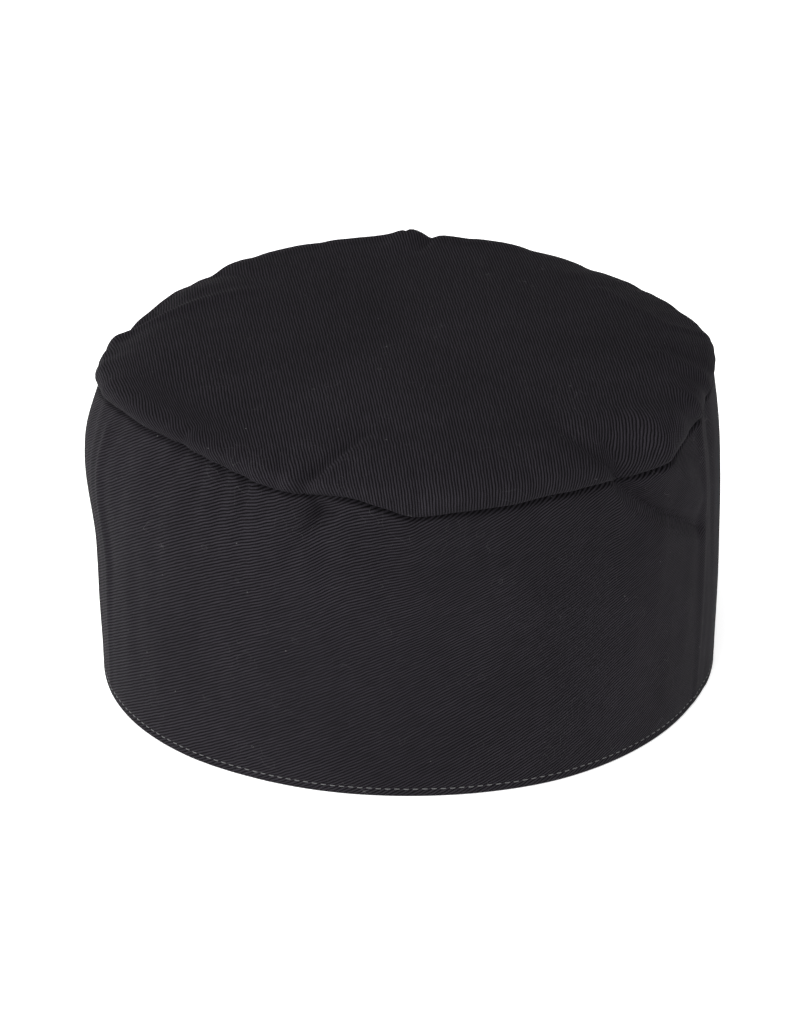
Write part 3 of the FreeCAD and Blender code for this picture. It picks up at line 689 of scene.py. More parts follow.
def apply_modifiers(piece):
    """Turns the modified shape into the piece's own mesh."""
    depsgraph = bpy.context.evaluated_depsgraph_get()
    mesh = bpy.data.meshes.new_from_object(piece.evaluated_get(depsgraph), depsgraph=depsgraph)
    old = piece.data
    piece.modifiers.clear()
    piece.data = mesh
    bpy.data.meshes.remove(old)
    return piece


def thicken(piece, thickness, offset=-1.0):
    """Gives a surface its thickness. Offset -1 keeps the surface outside, and 0 in the middle."""
    modifier = piece.modifiers.new("thickness", "SOLIDIFY")
    modifier.thickness = thickness / METRE
    modifier.offset = offset
    modifier.use_even_offset = False
    return apply_modifiers(piece)


def tube_faces(base, rings, sides):
    """Faces of a capped tube whose rings of points follow one another from the point numbered base."""
    faces = []
    for i in range(rings - 1):
        for j in range(sides):
            a, b, k = base + i * sides, base + (i + 1) * sides, (j + 1) % sides
            faces.append((a + j, a + k, b + k, b + j))
    faces.append(tuple(base + j for j in range(sides))[::-1])
    faces.append(tuple(base + (rings - 1) * sides + j for j in range(sides)))
    return faces


def grid_faces(rows, columns, closed=False):
    """Quads over a grid of points numbered row by row. closed joins the last column to the first."""
    faces = []
    for i in range(rows - 1):
        for j in range(columns if closed else columns - 1):
            k = (j + 1) % columns
            faces.append((i * columns + j, i * columns + k, (i + 1) * columns + k, (i + 1) * columns + j))
    return faces


def spaced(low, high, step, fine=()):
    """Heights from low to high, closer together near each (height, step, reach) in fine."""
    places = [low]
    while places[-1] < high:
        here = places[-1]
        size = step
        for at, small, reach in fine:
            size = min(size, small + (step - small) * float(ramp(abs(here - at), 0, reach)))
        places.append(here + size)
    places = np.array(places)
    return low + (places - low) * (high - low) / (places[-1] - low)


def vent_distance(x, z, half):
    """How far a place on the rear wall is outside the vent's arch of that half width."""
    return np.where(z < VENT_SPRING, np.abs(x) - half, np.hypot(x, z - VENT_SPRING) - half)


def wall_sheet(name, heights, radii, slot, nodes, half=VENT_HALF, thickness=PLY, uv_heights=None):
    """A ply of the wall: rows at the given heights and radii, all round, with the vent cut out of it."""
    columns = WALL_COLUMNS
    # The columns crowd together at the rear, where the panel's ends are sewn to each other.
    even = np.linspace(-1, 1, columns, endpoint=False)
    turns = 180 * (even + 0.14 * np.sin(even * math.pi) / math.pi * np.abs(even) ** 2)
    turn, height = np.meshgrid(turns, heights)
    radius = np.repeat(np.asarray(radii, float)[:, None], columns, 1)
    # Points beside the arch move onto it, so that the cut edge is clean.
    cell = 2 * math.pi * BAND_RADIUS / columns
    x = radius * np.sin(np.radians(turn))
    rear = np.abs(turn) > 90
    gap = vent_distance(x, height, half)
    snap = rear & (np.abs(gap) < cell * 0.62)
    lean = np.maximum(np.hypot(x, np.maximum(height - VENT_SPRING, 0)), 1e-9)
    to_x = np.where(height < VENT_SPRING, np.sign(x), x / lean)
    to_z = np.where(height < VENT_SPRING, 0, (height - VENT_SPRING) / lean)
    new_x = np.where(snap, x - gap * to_x, x)
    new_height = np.where(snap, height - gap * to_z, height)
    side = np.degrees(np.arcsin(np.clip(new_x / radius, -1, 1)))
    turn = np.where(snap, np.where(turn > 0, 180 - side, -180 - side), turn)
    height = new_height
    gap = np.where(snap, 0, gap)
    points = wall_points(turn, height, radius).reshape(-1, 3)
    inside = (rear & (gap < -1e-6)).ravel()
    faces = [f for f in grid_faces(len(heights), columns, True) if not inside[list(f)].any()]
    used = np.unique(np.array(faces))
    renumber = np.full(len(points), -1)
    renumber[used] = np.arange(len(used))
    along = height if uv_heights is None else np.repeat(np.asarray(uv_heights, float)[:, None], columns, 1)
    uv = np.stack([np.radians(turn) * BAND_RADIUS, along], -1).reshape(-1, 2)
    piece = make_piece(name, points[used], renumber[np.array(faces)], slot, None, nodes, uv[used])
    mend_uv_seam(piece)
    thicken(piece, thickness)
    for vertex in piece.data.vertices:
        vertex.co.z = max(vertex.co.z, 0.0)
    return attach(piece, "cap")


def mend_uv_seam(piece):
    """Faces that cross the rear get coordinates that run on instead of jumping back round the cap."""
    mesh = piece.data
    layer = mesh.uv_layers["cloth"]
    uv = np.empty(len(mesh.loops) * 2, np.float32)
    layer.data.foreach_get("uv", uv)
    uv = uv.reshape(-1, 2)
    girth = 2 * math.pi * BAND_RADIUS / METRE
    start = np.empty(len(mesh.polygons), np.int32)
    total = np.empty(len(mesh.polygons), np.int32)
    mesh.polygons.foreach_get("loop_start", start)
    mesh.polygons.foreach_get("loop_total", total)
    for first, count in zip(start, total):
        here = uv[first:first + count, 0]
        if here.max() - here.min() > girth / 2:
            here[here < 0] += girth
    layer.data.foreach_set("uv", uv.ravel())


# ---------------------------------------------------------------- the band


def make_band():
    """The outer ply, which turns under at the hem in a soft fold."""
    roll = (PLY * 3) / 2
    wall = spaced(roll, BAND_TOP, 1.7, [(roll, 0.35, 6), (BAND_TOP, 0.8, 20)])
    bend = np.radians(np.linspace(0, 180, 9)[:-1])
    inner_leg = np.array([3.4, 2.0])
    heights = np.concatenate([inner_leg, roll - roll * np.sin(bend[::-1]), wall[1:]])
    radii = np.concatenate(
        [
            np.full(len(inner_leg), BAND_RADIUS - 2 * roll),
            BAND_RADIUS - roll + roll * np.cos(bend[::-1]),
            np.full(len(wall) - 1, BAND_RADIUS),
        ]
    )
    along = np.concatenate([-inner_leg - 2, -roll * bend[::-1] + roll, wall[1:]])
    radii = radii - SEAM_TURN_IN * ramp(heights, BAND_TOP - 2.4, BAND_TOP)
    cloth = wall_sheet("band_outer_cloth", heights, radii, "band_twill", ["band_panel"], uv_heights=along)


def make_lining():
    """The inner ply of twill."""
    heights = spaced(3.6, BAND_TOP - 0.2, 1.7, [(BAND_TOP, 0.9, 16)])
    radii = np.full(len(heights), LINING_RADIUS)
    cloth = wall_sheet("band_lining_cloth", heights, radii, "lining_twill", ["band_lining"])


def make_interlining():
    """The stiffener between the two plies, cut back from the hem, the seam and the vent."""
    heights = spaced(INTERLINING_LOW, INTERLINING_TOP, 1.7)
    radii = np.full(len(heights), INTERLINING_RADIUS)
    inset = VENT_HALF + INTERLINING_LOW
    cloth = wall_sheet("band_stiffener", heights, radii, "interlining", ["band_interlining"], inset, 0.45)


# ---------------------------------------------------------------- the crown


def make_crown():
    """The crown's round panel with its seam allowance, rings of points that thin out towards the centre."""
    out = np.array([0.0, 0.008, 0.016, 0.025, 0.034, 0.043, 0.052, 0.062, 0.073, 0.085])
    inward = np.concatenate([out, np.linspace(0.1, 1.0, 84)[:-1]])
    finest = WALL_COLUMNS
    rings, flats = [], []
    # The allowance hangs inside the wall from the seam.
    low = SEAM_ALLOWANCE_LOW + 0.3
    allowance_radius = INSIDE - 0.8
    turns = np.linspace(-180, 180, finest, endpoint=False)
    for height in np.linspace(low, BAND_TOP - 0.6, 8):
        rings.append(wall_points(turns, height, allowance_radius))
    for share in (0.3, 0.7):
        radius = allowance_radius + (BAND_RADIUS - 2.6 - allowance_radius) * share
        rise = BAND_TOP + 0.5 * math.sin(share * math.pi / 2)
        rings.append(wall_points(turns, rise, radius))
    for share in inward:
        count = finest
        while 2 * math.pi * (1 - share) * BAND_RADIUS / count < 0.62 and count > 15:
            count //= 2
        rings.append(crown_points(np.linspace(-180, 180, count, endpoint=False), share))
    points = np.concatenate(rings + [crown_points(np.zeros(1), np.ones(1))])
    starts = np.cumsum([0] + [len(r) for r in rings])
    faces = []
    for number in range(len(rings) - 1):
        faces += joined_rings(starts[number], len(rings[number]), starts[number + 1], len(rings[number + 1]))
    last, count = starts[-2], len(rings[-1])
    faces += [(last + j, last + (j + 1) % count, len(points) - 1) for j in range(count)]
    # Flat coordinates: how far each ring is from the centre along the cloth.
    reach = [0.0]
    middle = [r[len(r) // 2] for r in rings] + [points[-1]]
    for here, there in zip(middle[::-1], middle[-2::-1]):
        reach.append(reach[-1] + float(np.linalg.norm(here - there)))
    reach = reach[::-1]
    for ring, distance in zip(rings + [points[-1:]], reach):
        turn = np.linspace(-math.pi, math.pi, len(ring), endpoint=False)
        flats.append(np.stack([np.sin(turn) * distance, -np.cos(turn) * distance], -1))
    flats = np.concatenate(flats)
    piece = make_piece("crown_cloth", points, faces, "crown_twill", None, ["crown_panel"], flats)
    thicken(piece, PLY, 0.0)
    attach(piece, "cap")


def joined_rings(first, count, second, next_count):
    """Faces between two rings of points, the second with as many points or half as many."""
    faces = []
    if count == next_count:
        for j in range(count):
            k = (j + 1) % count
            faces.append((first + j, first + k, second + k, second + j))
        return faces
    for j in range(next_count):
        k = (j + 1) % next_count
        a, b, c = 2 * j, 2 * j + 1, (2 * j + 2) % count
        faces.append((first + a, first + b, second + j))
        faces.append((first + b, second + k, second + j))
        faces.append((first + b, first + c, second + k))
    return faces


# ---------------------------------------------------------------- what lies on the wall


def rear_turn(across, radius):
    """The turn of a place on the rear wall that is that far across from the centre line."""
    return 180 - np.degrees(np.arcsin(np.clip(np.asarray(across, float) / radius, -1, 1)))


def rear_points(across, height, radius):
    """Places on the creased wall at the rear, from how far across they are."""
    return wall_points(rear_turn(across, radius), height, radius)


def swept(name, stations, loop_count, slot, nodes, uv, closed=False, body="cap"):
    """A closed band of point loops, one at each station, capped at its ends unless it runs right round."""
    stations = np.asarray(stations, float)
    count = len(stations)
    points = stations.reshape(-1, 3)
    faces = []
    for i in range(count if closed else count - 1):
        here, there = i * loop_count, ((i + 1) % count) * loop_count
        for j in range(loop_count):
            k = (j + 1) % loop_count
            faces.append((here + j, there + j, there + k, here + k))
    if not closed:
        last = (count - 1) * loop_count
        half = loop_count // 2
        for j in range(half - 1):
            mirror = loop_count - 1 - j
            faces.append((j, j + 1, mirror - 1, mirror))
            faces.append((last + j, last + mirror, last + mirror - 1, last + j + 1))
    piece = make_piece(name, points, faces, slot, None, nodes, np.asarray(uv, float).reshape(-1, 2))
    if body:
        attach(piece, body)
    return piece


def outline_distance(x, z, runs):
    """The distance from each place to the nearest of several paths."""
    best = np.full(np.shape(x), 1e9)
    for path in runs:
        best = np.minimum(best, to_segments(x, z, path)[0])
    return best


def strap_width_at(x, tip, corner, width):
    """Half the width of a strap whose tip has rounded corners."""
    short = np.maximum(corner - abs(tip - x), 0)
    return width / 2 - corner + math.sqrt(max(corner ** 2 - short ** 2, 0))


def make_slab(
    name, span, heights, radii, slot, nodes, runs=(), corner=0.0, body="cap", soft=0.5, step=0.8, ripple=0.0
):
    """A flat piece along the rear wall, with softly rounded edges. span goes from its root to its tip.

    runs are the rows of stitches that pull its faces in.
    """
    root, tip = span
    low, high = heights
    inner, outer = radii
    thick = outer - inner
    side = 1 if tip > root else -1
    length = abs(tip - root)
    edge = thick / 2 * soft
    ease = edge * (1 - np.cos(np.linspace(0, math.pi / 2, 4)))
    start = edge - ease[::-1]
    middle = np.arange(edge, length - max(corner, edge), step)[1:]
    if corner:
        turn = np.linspace(0, math.pi / 2, 12)
        tip_run = length - corner + (corner - edge) * np.sin(turn)
        along = np.concatenate([start, middle, tip_run, length - start[::-1][1:]])
    else:
        along = np.concatenate([start, middle, length - start[::-1]])
    across = np.linspace(-1, 1, max(6, int((high - low) / step)))
    arc = np.linspace(0, math.pi, 7)[1:-1]
    stations, flats = [], []
    for u in along:
        x = root + side * u
        half = strap_width_at(x, tip, corner, high - low) if corner else (high - low) / 2
        near_end = min(u, length - u)
        fat = 0.25 + 0.75 * math.sqrt(max(1 - (1 - min(near_end / edge, 1)) ** 2, 0))
        z = np.concatenate(
            [
                across * (half - edge),
                half - edge + edge * np.sin(arc),
                across[::-1] * (half - edge),
                -half + edge - edge * np.sin(arc),
            ]
        )
        t = np.concatenate(
            [np.ones(len(across)), np.cos(arc), -np.ones(len(across)), -np.cos(arc)]
        )
        z = z + (low + high) / 2
        xs = np.full(len(z), x)
        wobble = 0.1 * np.sin(x * 0.31 + 1.3) + 0.07 * np.sin(x * 0.83)
        z = z + wobble * min(near_end / 4, 1)
        press = 0.13 * bump(outline_distance(xs, z, runs), 0.75) if runs else 0.0
        lift = ripple * np.sin(x * 0.52 + z * 0.21) * np.sin(z * 0.33 + 0.7)
        r = (inner + outer) / 2 + t * (thick / 2 * fat - press) + lift
        stations.append(rear_points(xs, z, r))
        # The coordinates run on over the edge, so that the weave doesn't smear there.
        flats.append(np.stack([xs, z + np.where(t < 0, 40.0, 0.0)], -1))
    stations = np.array(stations)[::side]
    flats = np.array(flats)[::side]
    return swept(name, stations, len(stations[0]), slot, nodes, flats, body=body)


# ---------------------------------------------------------------- stitches


def along_path(path, pitch, radius):
    """Needle holes at even spacing along a path of (turn, height)."""
    path = np.asarray(path, float)
    flat = np.stack([np.radians(np.unwrap(path[:, 0], period=360)) * radius, path[:, 1]], -1)
    legs = np.hypot(*np.diff(flat, axis=0).T)
    total = legs.sum()
    count = max(1, int(round(total / pitch)))
    reach = np.concatenate([[0], np.cumsum(legs)])
    places = np.linspace(0, total, count + 1)
    return np.stack([np.interp(places, reach, flat[:, 0]), np.interp(places, reach, flat[:, 1])], -1)


def make_stitches(
    name, rows, face, side, slot, nodes, body="cap", pitch=STITCH_PITCH, share=0.8, size=THREAD
):
    """Rows of separate stitches on a face of the wall, each from one needle hole to the next."""
    arch = np.linspace(0, 1, 8)
    ring = np.linspace(0, 2 * math.pi, 7)[:-1]
    points, faces, flats = [], [], []
    for row in rows:
        holes = along_path(row, pitch, face)
        for first, second in zip(holes, holes[1:]):
            gap = (1 - share) / 2
            jitter = rng.normal(0, 0.05, 2)
            place = first + (second - first) * (gap + share * arch[:, None])
            place[:, 1] += jitter[0] * np.sin(arch * math.pi)
            lift = -STITCH_BURIED + (STITCH_BURIED + size * 0.7) * np.sin(arch * math.pi) ** 0.4
            middle = wall_points(np.degrees(place[:, 0] / face), place[:, 1], face + side * lift)
            tangent = np.gradient(middle, axis=0)
            tangent /= np.linalg.norm(tangent, axis=1)[:, None]
            outward = middle * (1, 1, 0) * side
            outward /= np.linalg.norm(outward, axis=1)[:, None]
            beside = np.cross(tangent, outward)
            beside /= np.linalg.norm(beside, axis=1)[:, None]
            outward = np.cross(beside, tangent)
            sideways, upwards = np.cos(ring)[None, :, None], 0.8 * np.sin(ring)[None, :, None]
            tube = middle[:, None] + size * (sideways * beside[:, None] + upwards * outward[:, None])
            base = len(points) * len(arch) * len(ring)
            points.append(tube.reshape(-1, 3))
            run = arch * np.linalg.norm(second - first) * share
            flat = np.stack(np.broadcast_arrays(run[:, None], ring[None, :]), -1)
            flats.append(flat.reshape(-1, 2))
            faces += tube_faces(base, len(arch), len(ring))
    return make_piece(name, np.concatenate(points), faces, slot, body, nodes, np.concatenate(flats))


def rear_path(places, radius):
    """A path of (turn, height) through (across, height) places, with enough points to follow the wall."""
    path = []
    for (x0, z0), (x1, z1) in zip(places, places[1:]):
        share = np.linspace(0, 1, 12, endpoint=False)
        path += list(zip(rear_turn(x0 + (x1 - x0) * share, radius), z0 + (z1 - z0) * share))
    path.append((float(rear_turn(places[-1][0], radius)), places[-1][1]))
    return path


def box_path(left, right, low, high):
    """The four sides of a box, back to its first corner."""
    return [(left, low), (right, low), (right, high), (left, high), (left, low)]


def arc_path(centre, size, first, last, count=10):
    """Places round an arc, between two angles in degrees."""
    turns = np.radians(np.linspace(first, last, count))
    return [(centre[0] + size * math.cos(t), centre[1] + size * math.sin(t)) for t in turns]


def ring_path(height, first=-180.0, last=180.0):
    """A level row round the cap, between two turns."""
    turns = np.linspace(first, last, 240)
    return [(t, height) for t in turns]


# ---------------------------------------------------------------- the sweatband


def make_sweatband():
    """Terry folded over thin padding, with a flat edge above it that is sewn to the lining."""
    low, high, pad_high = SWEAT_LOW, SWEAT_HIGH, SWEAT_HIGH - 6
    back, front = INSIDE - CLEARANCE, PADDING_FACE
    heights = [*spaced(low + 0.5, pad_high, 0.62), pad_high + 0.3, pad_high + 0.6, pad_high + 1.0]
    full = []
    for z in heights:
        round_low = 1 - max(0, 1 - (z - low) / 2.2) ** 2
        round_high = 1 - max(0, 1 - (pad_high + 0.9 - z) / 2.6) ** 2
        bulge = max(round_low * round_high, 0) ** 0.5
        full.append((back - 0.75 + (front + 0.12 - back + 0.75) * bulge, z))
    edge = [(back - 0.7, z) for z in np.linspace(pad_high + 1.4, high - 0.3, 8)]
    profile = full + edge + [(back - 0.5, high - 0.05), (back - 0.15, high), (back, high - 0.3)]
    profile += [(back, z) for z in np.linspace(high - 1.2, low + 0.8, 12)]
    profile += [(back - 0.3, low + 0.1), (back - 1.0, low)]
    count = len(profile)
    rough = np.array([1.0] * (len(full) - 3) + [0.3] * (count - len(full) + 3))
    rough[-14:] = 0
    columns = SWEAT_COLUMNS
    turns = np.linspace(-SWEAT_END, SWEAT_END, columns)
    radius, height = np.array(profile).T
    loops = rng.uniform(-1, 1, (columns, count))
    loops = loops + 0.6 * np.roll(loops, 1, 0)
    stations, flats = [], []
    for number, turn in enumerate(turns):
        near_end = min(number, columns - 1 - number)
        fat = min(1.0, 0.35 + 0.65 * math.sqrt(min(near_end / 3, 1)))
        sway = 0.14 * math.sin(math.radians(turn) * 17) + 0.1 * math.sin(math.radians(turn) * 29 + 1)
        r = back + (radius - back) * fat + rough * (0.13 * loops[number] + 0.5 * sway)
        z = height + sway * 0.5 * (height > low + 4)
        stations.append(wall_points(np.full(count, turn), z, r))
        flats.append(np.stack([np.full(count, math.radians(turn) * back), height], -1))
    band = swept("sweatband_terry", stations, count, "terry", ["sweatband"], flats)
    row = [ring_path(high - 3.0, -SWEAT_END + 1, SWEAT_END - 1)]
    make_stitches("sweatband_stitches", row, back - 0.75, -1, "sewing_thread", ["sweatband_stitching"])


# ---------------------------------------------------------------- bindings and label


def make_seam_binding():
    """Tape folded over the raw edge of the crown's seam allowance."""
    low, high = SEAM_TAPE_LOW, SEAM_TAPE_HIGH
    inner, outer = SEAM_TAPE_FACE, INSIDE - CLEARANCE
    leaf = TAPE_LEAF
    middle = (inner + outer) / 2
    loop = [
        (outer, high), (outer, low + 2.6), (outer - 0.02, low + 0.9), (outer - 0.3, low + 0.25),
        (middle, low), (inner + 0.3, low + 0.2), (inner + 0.02, low + 0.8), (inner, low + 2.2),
        (inner - 0.05, low + 3.6), (inner, low + 5.2), (inner + 0.02, high), (inner + leaf, high),
        (inner + leaf, low + 1.2), (middle, low + leaf + 0.1), (outer - leaf, low + 1.2),
        (outer - leaf, high),
    ]
    radius, height = np.array(loop).T
    reach = np.concatenate([[0], np.cumsum(np.hypot(np.diff(radius), np.diff(height)))])
    stations, flats = [], []
    for turn in np.linspace(-180, 180, 420, endpoint=False):
        sway = 0.12 * math.sin(math.radians(turn) * 31) + 0.08 * math.sin(math.radians(turn) * 53 + 2)
        inside = (radius < middle).astype(float)
        give = 0.5 * abs(sway) * inside
        stations.append(wall_points(np.full(len(loop), turn), height + sway, radius - give))
        flats.append(np.stack([np.full(len(loop), math.radians(turn) * inner), reach], -1))
    nodes = ["crown_seam_binding"]
    tape = swept("crown_seam_tape", stations, len(loop), "binding_tape", nodes, flats, closed=True)
    row = [ring_path((low + high) / 2 + 0.6)]
    make_stitches("crown_seam_stitches", row, inner - SEWN_IN, -1, "sewing_thread", ["crown_seam_stitching"])


def make_vent_binding():
    """Bias tape folded over the vent's cut edge, up one side, round the arch and down the other."""
    inner, outer = VENT_TAPE_LOW_RADIUS, VENT_TAPE_FACE
    leaf, wide = TAPE_LEAF, VENT_TAPE
    loop = [
        (wide, outer - 0.04), (wide - 0.5, outer), (3.4, outer - 0.05), (1.2, outer), (0.1, outer - 0.08),
        (-0.36, outer - 0.5), (-0.5, (inner + outer) / 2), (-0.36, inner + 0.5), (0.1, inner + 0.08),
        (1.2, inner), (3.4, inner + 0.05), (wide - 0.5, inner), (wide, inner + 0.04), (wide, inner + leaf),
        (0.5, inner + leaf), (0.05, inner + 0.9), (0.05, outer - 0.9), (0.5, outer - leaf),
        (wide, outer - leaf),
    ]
    out, radius = np.array(loop).T
    reach = np.concatenate([[0], np.cumsum(np.hypot(np.diff(out), np.diff(radius)))])
    low = VENT_TAPE_LOW[2]
    side = np.linspace(low, VENT_SPRING, 30)
    arch = np.radians(np.linspace(0, 180, 96))
    path = [(VENT_HALF, z, 1.0, 0.0) for z in side[:-1]]
    for t in arch:
        out_x, out_z = math.cos(t), math.sin(t)
        path.append((VENT_HALF * out_x, VENT_SPRING + VENT_HALF * out_z, out_x, out_z))
    path += [(-VENT_HALF, z, -1.0, 0.0) for z in side[-2::-1]]
    stations, flats, run = [], [], 0.0
    last = path[0]
    for x, z, out_x, out_z in path:
        run += math.hypot(x - last[0], z - last[1])
        last = (x, z)
        on_arch = float(ramp(z, VENT_SPRING - 2, VENT_SPRING + 12))
        # The tape is eased round the arch, so its outer edge ripples a little.
        ease = 0.16 * on_arch * math.sin(run * 0.95)
        ripple = ease * np.clip(out / wide, 0, 1) * np.where(radius > 94, 1, -0.3)
        stations.append(rear_points(x + out * out_x, z + out * out_z, radius + ripple))
        flats.append(np.stack([np.full(len(loop), run), reach], -1))
    tape = swept("vent_tape", stations[::-1], len(loop), "binding_tape", ["vent_binding"], flats[::-1])
    middle = VENT_HALF + wide / 2
    above = math.degrees(math.asin((STRAP_HIGH + 0.3 - VENT_SPRING) / middle))
    places = [(middle, low + 0.3), (middle, VENT_SPRING)]
    places += arc_path((0, VENT_SPRING), middle, 0, 180 - above, 40)[1:]
    make_stitches(
        "vent_stitches", [rear_path(places, outer)], outer, 1, "sewing_thread", ["vent_binding_stitching"]
    )


def make_label():
    """A blank satin label, sewn round its edge to the lining."""
    low, high = corners("care_label")
    radii = (INSIDE - 0.33, INSIDE - 0.02)
    runs = [box_path(low[0] + 2, high[0] - 2, low[2] + 2, high[2] - 2)]
    label = make_slab(
        "blank_label", (low[0], high[0]), (low[2], high[2]), radii, "label_satin", ["care_label"], runs,
        step=0.7, ripple=0.05,
    )
    paths = [rear_path(runs[0], radii[0])]
    make_stitches("label_stitches", paths, radii[0], -1, "sewing_thread", ["care_label_stitching"], size=0.12)


# ---------------------------------------------------------------- the straps

STRAP_THICK = 1.25
ANCHOR = 14.0
CORNER = 8.0
MARGIN = 2.0
TAPE_WIDE = 20.0
HOOK_TAPE_LONG = 30.0
TAPE_SETBACK = 4.0


def edge_runs(fold, tip):
    """The row of stitches inside a strap's edge, out to its tip and back, as (across, height) places."""
    side = 1 if tip > fold else -1
    low, high = STRAP_LOW + MARGIN, STRAP_HIGH - MARGIN
    bend = CORNER - MARGIN
    shoulder = tip - side * CORNER
    lower = arc_path((shoulder, low + bend), bend, 270, 360 if side > 0 else 180)
    upper = arc_path((shoulder, high - bend), bend, 0 if side > 0 else 180, 90)
    return [(fold + side * MARGIN, low)] + lower + upper + [(fold + side * MARGIN, high)]


def anchor_runs(fold):
    """A box with a cross in it on a strap's sewn-down end."""
    side = 1 if fold > 0 else -1
    left, right = sorted((fold + side * MARGIN, fold + side * (ANCHOR - MARGIN)))
    low, high = STRAP_LOW + MARGIN, STRAP_HIGH - MARGIN
    box = box_path(left, right, low, high)
    cross = [[(left + 2, low + 4), (right - 2, high - 4)], [(left + 2, high - 4), (right - 2, low + 4)]]
    return [box] + cross


def make_strap(label, fold, tip, radii, side, tape_span):
    """A strap of folded twill in one piece, from its sewn-down end to its tip."""
    outward = 1 if fold > 0 else -1
    low, high = STRAP_LOW, STRAP_HIGH
    tape_low = (low + high - TAPE_WIDE) / 2
    tape_high = tape_low + TAPE_WIDE
    tape = box_path(tape_span[0] + MARGIN, tape_span[1] - MARGIN, tape_low + MARGIN, tape_high - MARGIN)
    edges, anchors = edge_runs(fold, tip), anchor_runs(fold)
    strap = make_slab(
        label + "_cloth", (fold + outward * ANCHOR, tip), (low, high), radii, "strap_twill",
        [label + "_anchor", label], [tape, edges] + anchors, CORNER, None, soft=0.9, step=0.75,
    )
    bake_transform(strap)
    face = radii[1] if side > 0 else radii[0]
    rows = (
        ("_edge_stitches", [edges], label, label + "_edge_stitching"),
        ("_tape_stitches", [tape], label, label.split("_")[0] + "_tape_stitching"),
        ("_anchor_stitches", anchors, "cap", label + "_anchor_stitching"),
    )
    for suffix, runs, body, node in rows:
        paths = [rear_path(run, face) for run in runs]
        sewn = face - side * SEWN_IN
        make_stitches(label + suffix, paths, sewn, side, "sewing_thread", [node], body, size=FINE_THREAD)


def make_hook_tape():
    """Nylon tape with rows of small hooks, on the back of the hook strap."""
    left, right = HOOK_TIP - TAPE_SETBACK - HOOK_TAPE_LONG, HOOK_TIP - TAPE_SETBACK
    low, high = corners("hook_tape")
    inner, outer = HOOK_TAPE_RADII
    back = outer - 0.62
    make_slab(
        "hook_tape_weave", (left, right), (low[2], high[2]), (back, outer), "hook_tape", ["hook_tape"],
        body="hook_strap", soft=0.6,
    )
    points, faces = [], []
    reach = back - inner - 0.1
    shape = [(0, 0), (0, 0.45), (0.05, 0.8), (0.22, 1.0), (0.42, 0.93), (0.47, 0.74)]
    ring = np.linspace(0, 2 * math.pi, 6)[:-1]
    pitch = 1.45
    for row, z in enumerate(np.arange(low[2] + 1.1, high[2] - 0.8, pitch)):
        facing = 1 if row % 2 else -1
        for x in np.arange(left + 1.2, right - 0.9, pitch):
            x = x + (0.35 if row % 2 else 0) + rng.normal(0, 0.05)
            lean = rng.normal(0, 0.05)
            base = len(points)
            for step, (bend, rise) in enumerate(shape):
                size = 0.13 if step < 4 else 0.1
                flat = 1 if step < 3 else 0.4
                for t in ring:
                    across = bend * facing + (rise - 0.6) * lean + size * math.cos(t) * flat
                    points.append((x + size * math.sin(t), z + across, back + 0.1 - rise * reach))
            faces += tube_faces(base, len(shape), len(ring))
    x, z, r = np.array(points).T
    make_piece("hooks", rear_points(x, z, r), faces, "hook_tape", "hook_strap", ["hook_tape"])


def make_loop_tape():
    """Napped tape with a pile of fine loops, on the face of the loop strap."""
    low, high = corners("loop_tape")
    inner, outer = LOOP_TAPE_RADII
    face, yarn = inner + 0.75, 0.07
    make_slab(
        "loop_tape_weave", (low[0], high[0]), (low[2], high[2]), (inner, face), "loop_tape", ["loop_tape"],
        body="loop_strap", soft=0.6,
    )
    points, faces = [], []
    steps = np.linspace(0, math.pi, 5)
    ring = np.linspace(0, 2 * math.pi, 5)[:-1]
    pitch = 1.05
    for z in np.arange(low[2] + 0.9, high[2] - 0.6, pitch):
        for x in np.arange(low[0] + 0.9, high[0] - 0.6, pitch):
            x0, z0 = x + rng.uniform(-0.4, 0.4), z + rng.uniform(-0.4, 0.4)
            heading = rng.uniform(0, math.pi)
            wide, tall = rng.uniform(0.3, 0.55), rng.uniform(0.3, outer - face - 0.08)
            base = len(points)
            for t in steps:
                along, rise = wide * math.cos(t), tall * math.sin(t)
                for q in ring:
                    swell = yarn * math.cos(q)
                    side = yarn * math.sin(q)
                    reach = along + swell * math.cos(t)
                    points.append(
                        (
                            x0 + reach * math.cos(heading) - side * math.sin(heading),
                            z0 + reach * math.sin(heading) + side * math.cos(heading),
                            face - PILE_SINK + rise + swell * math.sin(t),
                        )
                    )
            faces += tube_faces(base, len(steps), len(ring))
    x, z, r = np.array(points).T
    make_piece("loops", rear_points(x, z, r), faces, "loop_tape", "loop_strap", ["loop_tape"])


def make_straps():
    """Both straps, and the tapes that hold them to each other."""
    hook_inner = HOOK_TAPE_RADII[1] + 0.05
    tape_end = HOOK_TIP - TAPE_SETBACK
    make_strap(
        "hook_strap", HOOK_FOLD, HOOK_TIP, (hook_inner, hook_inner + STRAP_THICK), 1,
        (tape_end - HOOK_TAPE_LONG, tape_end),
    )
    loop_low, loop_high = corners("loop_tape")
    loop_outer = LOOP_TAPE_RADII[0] - 0.05
    make_strap(
        "loop_strap", LOOP_FOLD, LOOP_TIP, (loop_outer - STRAP_THICK, loop_outer), -1,
        (loop_low[0], loop_high[0]),
    )
    make_hook_tape()
    make_loop_tape()


def make_hem_stitches():
    """Grey topstitching through all the plies of the turned-up hem."""
    clear = math.degrees(math.asin((VENT_HALF + VENT_TAPE + 1.2) / BAND_RADIUS))
    row = [ring_path(HEM_STITCH, -180 + clear, 180 - clear)]
    make_stitches(
        "hem_stitches", row, BAND_RADIUS, 1, "topstitch_thread", ["hem_topstitching"], pitch=2.8, share=0.72
    )


# ---------------------------------------------------------------- camera, light and floor


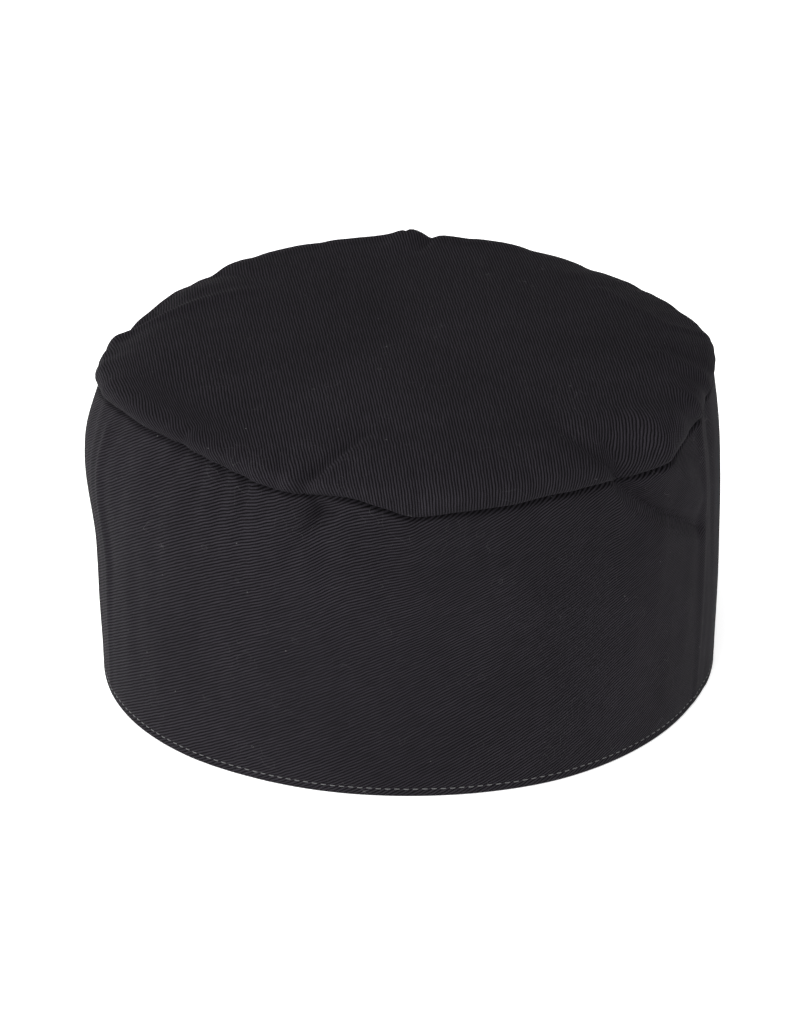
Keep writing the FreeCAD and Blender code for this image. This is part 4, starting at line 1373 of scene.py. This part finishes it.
def set_camera():
    """A long lens, a little to the left of the cap's axis and looking down on it."""
    distance, elevation, lens = 1.5, math.radians(25.0), 171.0
    target = np.array([-0.0008, 0.0, 0.0493])
    back = np.array([0.0, -math.cos(elevation), math.sin(elevation)])
    camera_data = bpy.data.cameras.new("camera")
    camera_data.lens = lens
    camera_data.sensor_width = 36.0
    camera_data.clip_end = 20.0
    camera = bpy.data.objects.new("camera", camera_data)
    camera.location = target + back * distance
    camera.rotation_euler = (math.pi / 2 - elevation, 0, 0)
    bpy.context.scene.collection.objects.link(camera)
    bpy.context.scene.camera = camera


def add_light(name, place, target, size, power):
    light_data = bpy.data.lights.new(name, "AREA")
    light_data.shape = "RECTANGLE"
    light_data.size, light_data.size_y = size
    light_data.energy = power
    light = bpy.data.objects.new(name, light_data)
    light.location = place
    direction = np.array(target) - np.array(place)
    light.rotation_euler = Vector(direction).to_track_quat("-Z", "Y").to_euler()
    bpy.context.scene.collection.objects.link(light)


def set_light():
    """An even, dim white surround, with soft boxes at both sides and one high in front."""
    bpy.context.scene.view_settings.view_transform = "Standard"
    world = bpy.data.worlds.new("studio")
    world.use_nodes = True
    tree = world.node_tree
    background = tree.nodes["Background"]
    place = tree.nodes.new("ShaderNodeTexCoord")
    axes = tree.nodes.new("ShaderNodeSeparateXYZ")
    ramp_node = tree.nodes.new("ShaderNodeValToRGB")
    tree.links.new(place.outputs["Generated"], axes.inputs[0])
    tree.links.new(axes.outputs["Z"], ramp_node.inputs[0])
    tree.links.new(ramp_node.outputs["Color"], background.inputs["Color"])
    for element, (position, level) in zip(ramp_node.color_ramp.elements, ((0.0, 0.2), (0.35, 0.22))):
        element.position = position
        element.color = (level, level, level, 1)
    background.inputs["Strength"].default_value = 1.0
    bpy.context.scene.world = world
    add_light("key_left", (-1.4, -0.75, 0.45), (0, 0, 0.04), (0.8, 0.7), 26)
    add_light("fill_right", (1.25, -1.1, 0.4), (0, 0, 0.04), (0.45, 0.6), 10)
    add_light("front_top", (-0.2, -0.6, 1.6), (0, 0, 0.08), (0.8, 0.5), 26)


def make_floor():
    """A wide, bright floor just under the hem."""
    half, level = 4000.0, -0.02
    points = [(-half, -half, level), (half, -half, level), (half, half, level), (-half, half, level)]
    mesh = bpy.data.meshes.new("floor")
    mesh.from_pydata([tuple(c / METRE for c in p) for p in points], [], [(0, 1, 2, 3)])
    mesh.materials.append(floor_material())
    floor = bpy.data.objects.new("floor", mesh)
    bpy.context.scene.collection.objects.link(floor)


set_camera()
set_light()
make_floor()
make_band()
make_lining()
make_interlining()
make_crown()
make_sweatband()
make_seam_binding()
make_vent_binding()
make_label()
make_straps()
make_hem_stitches()
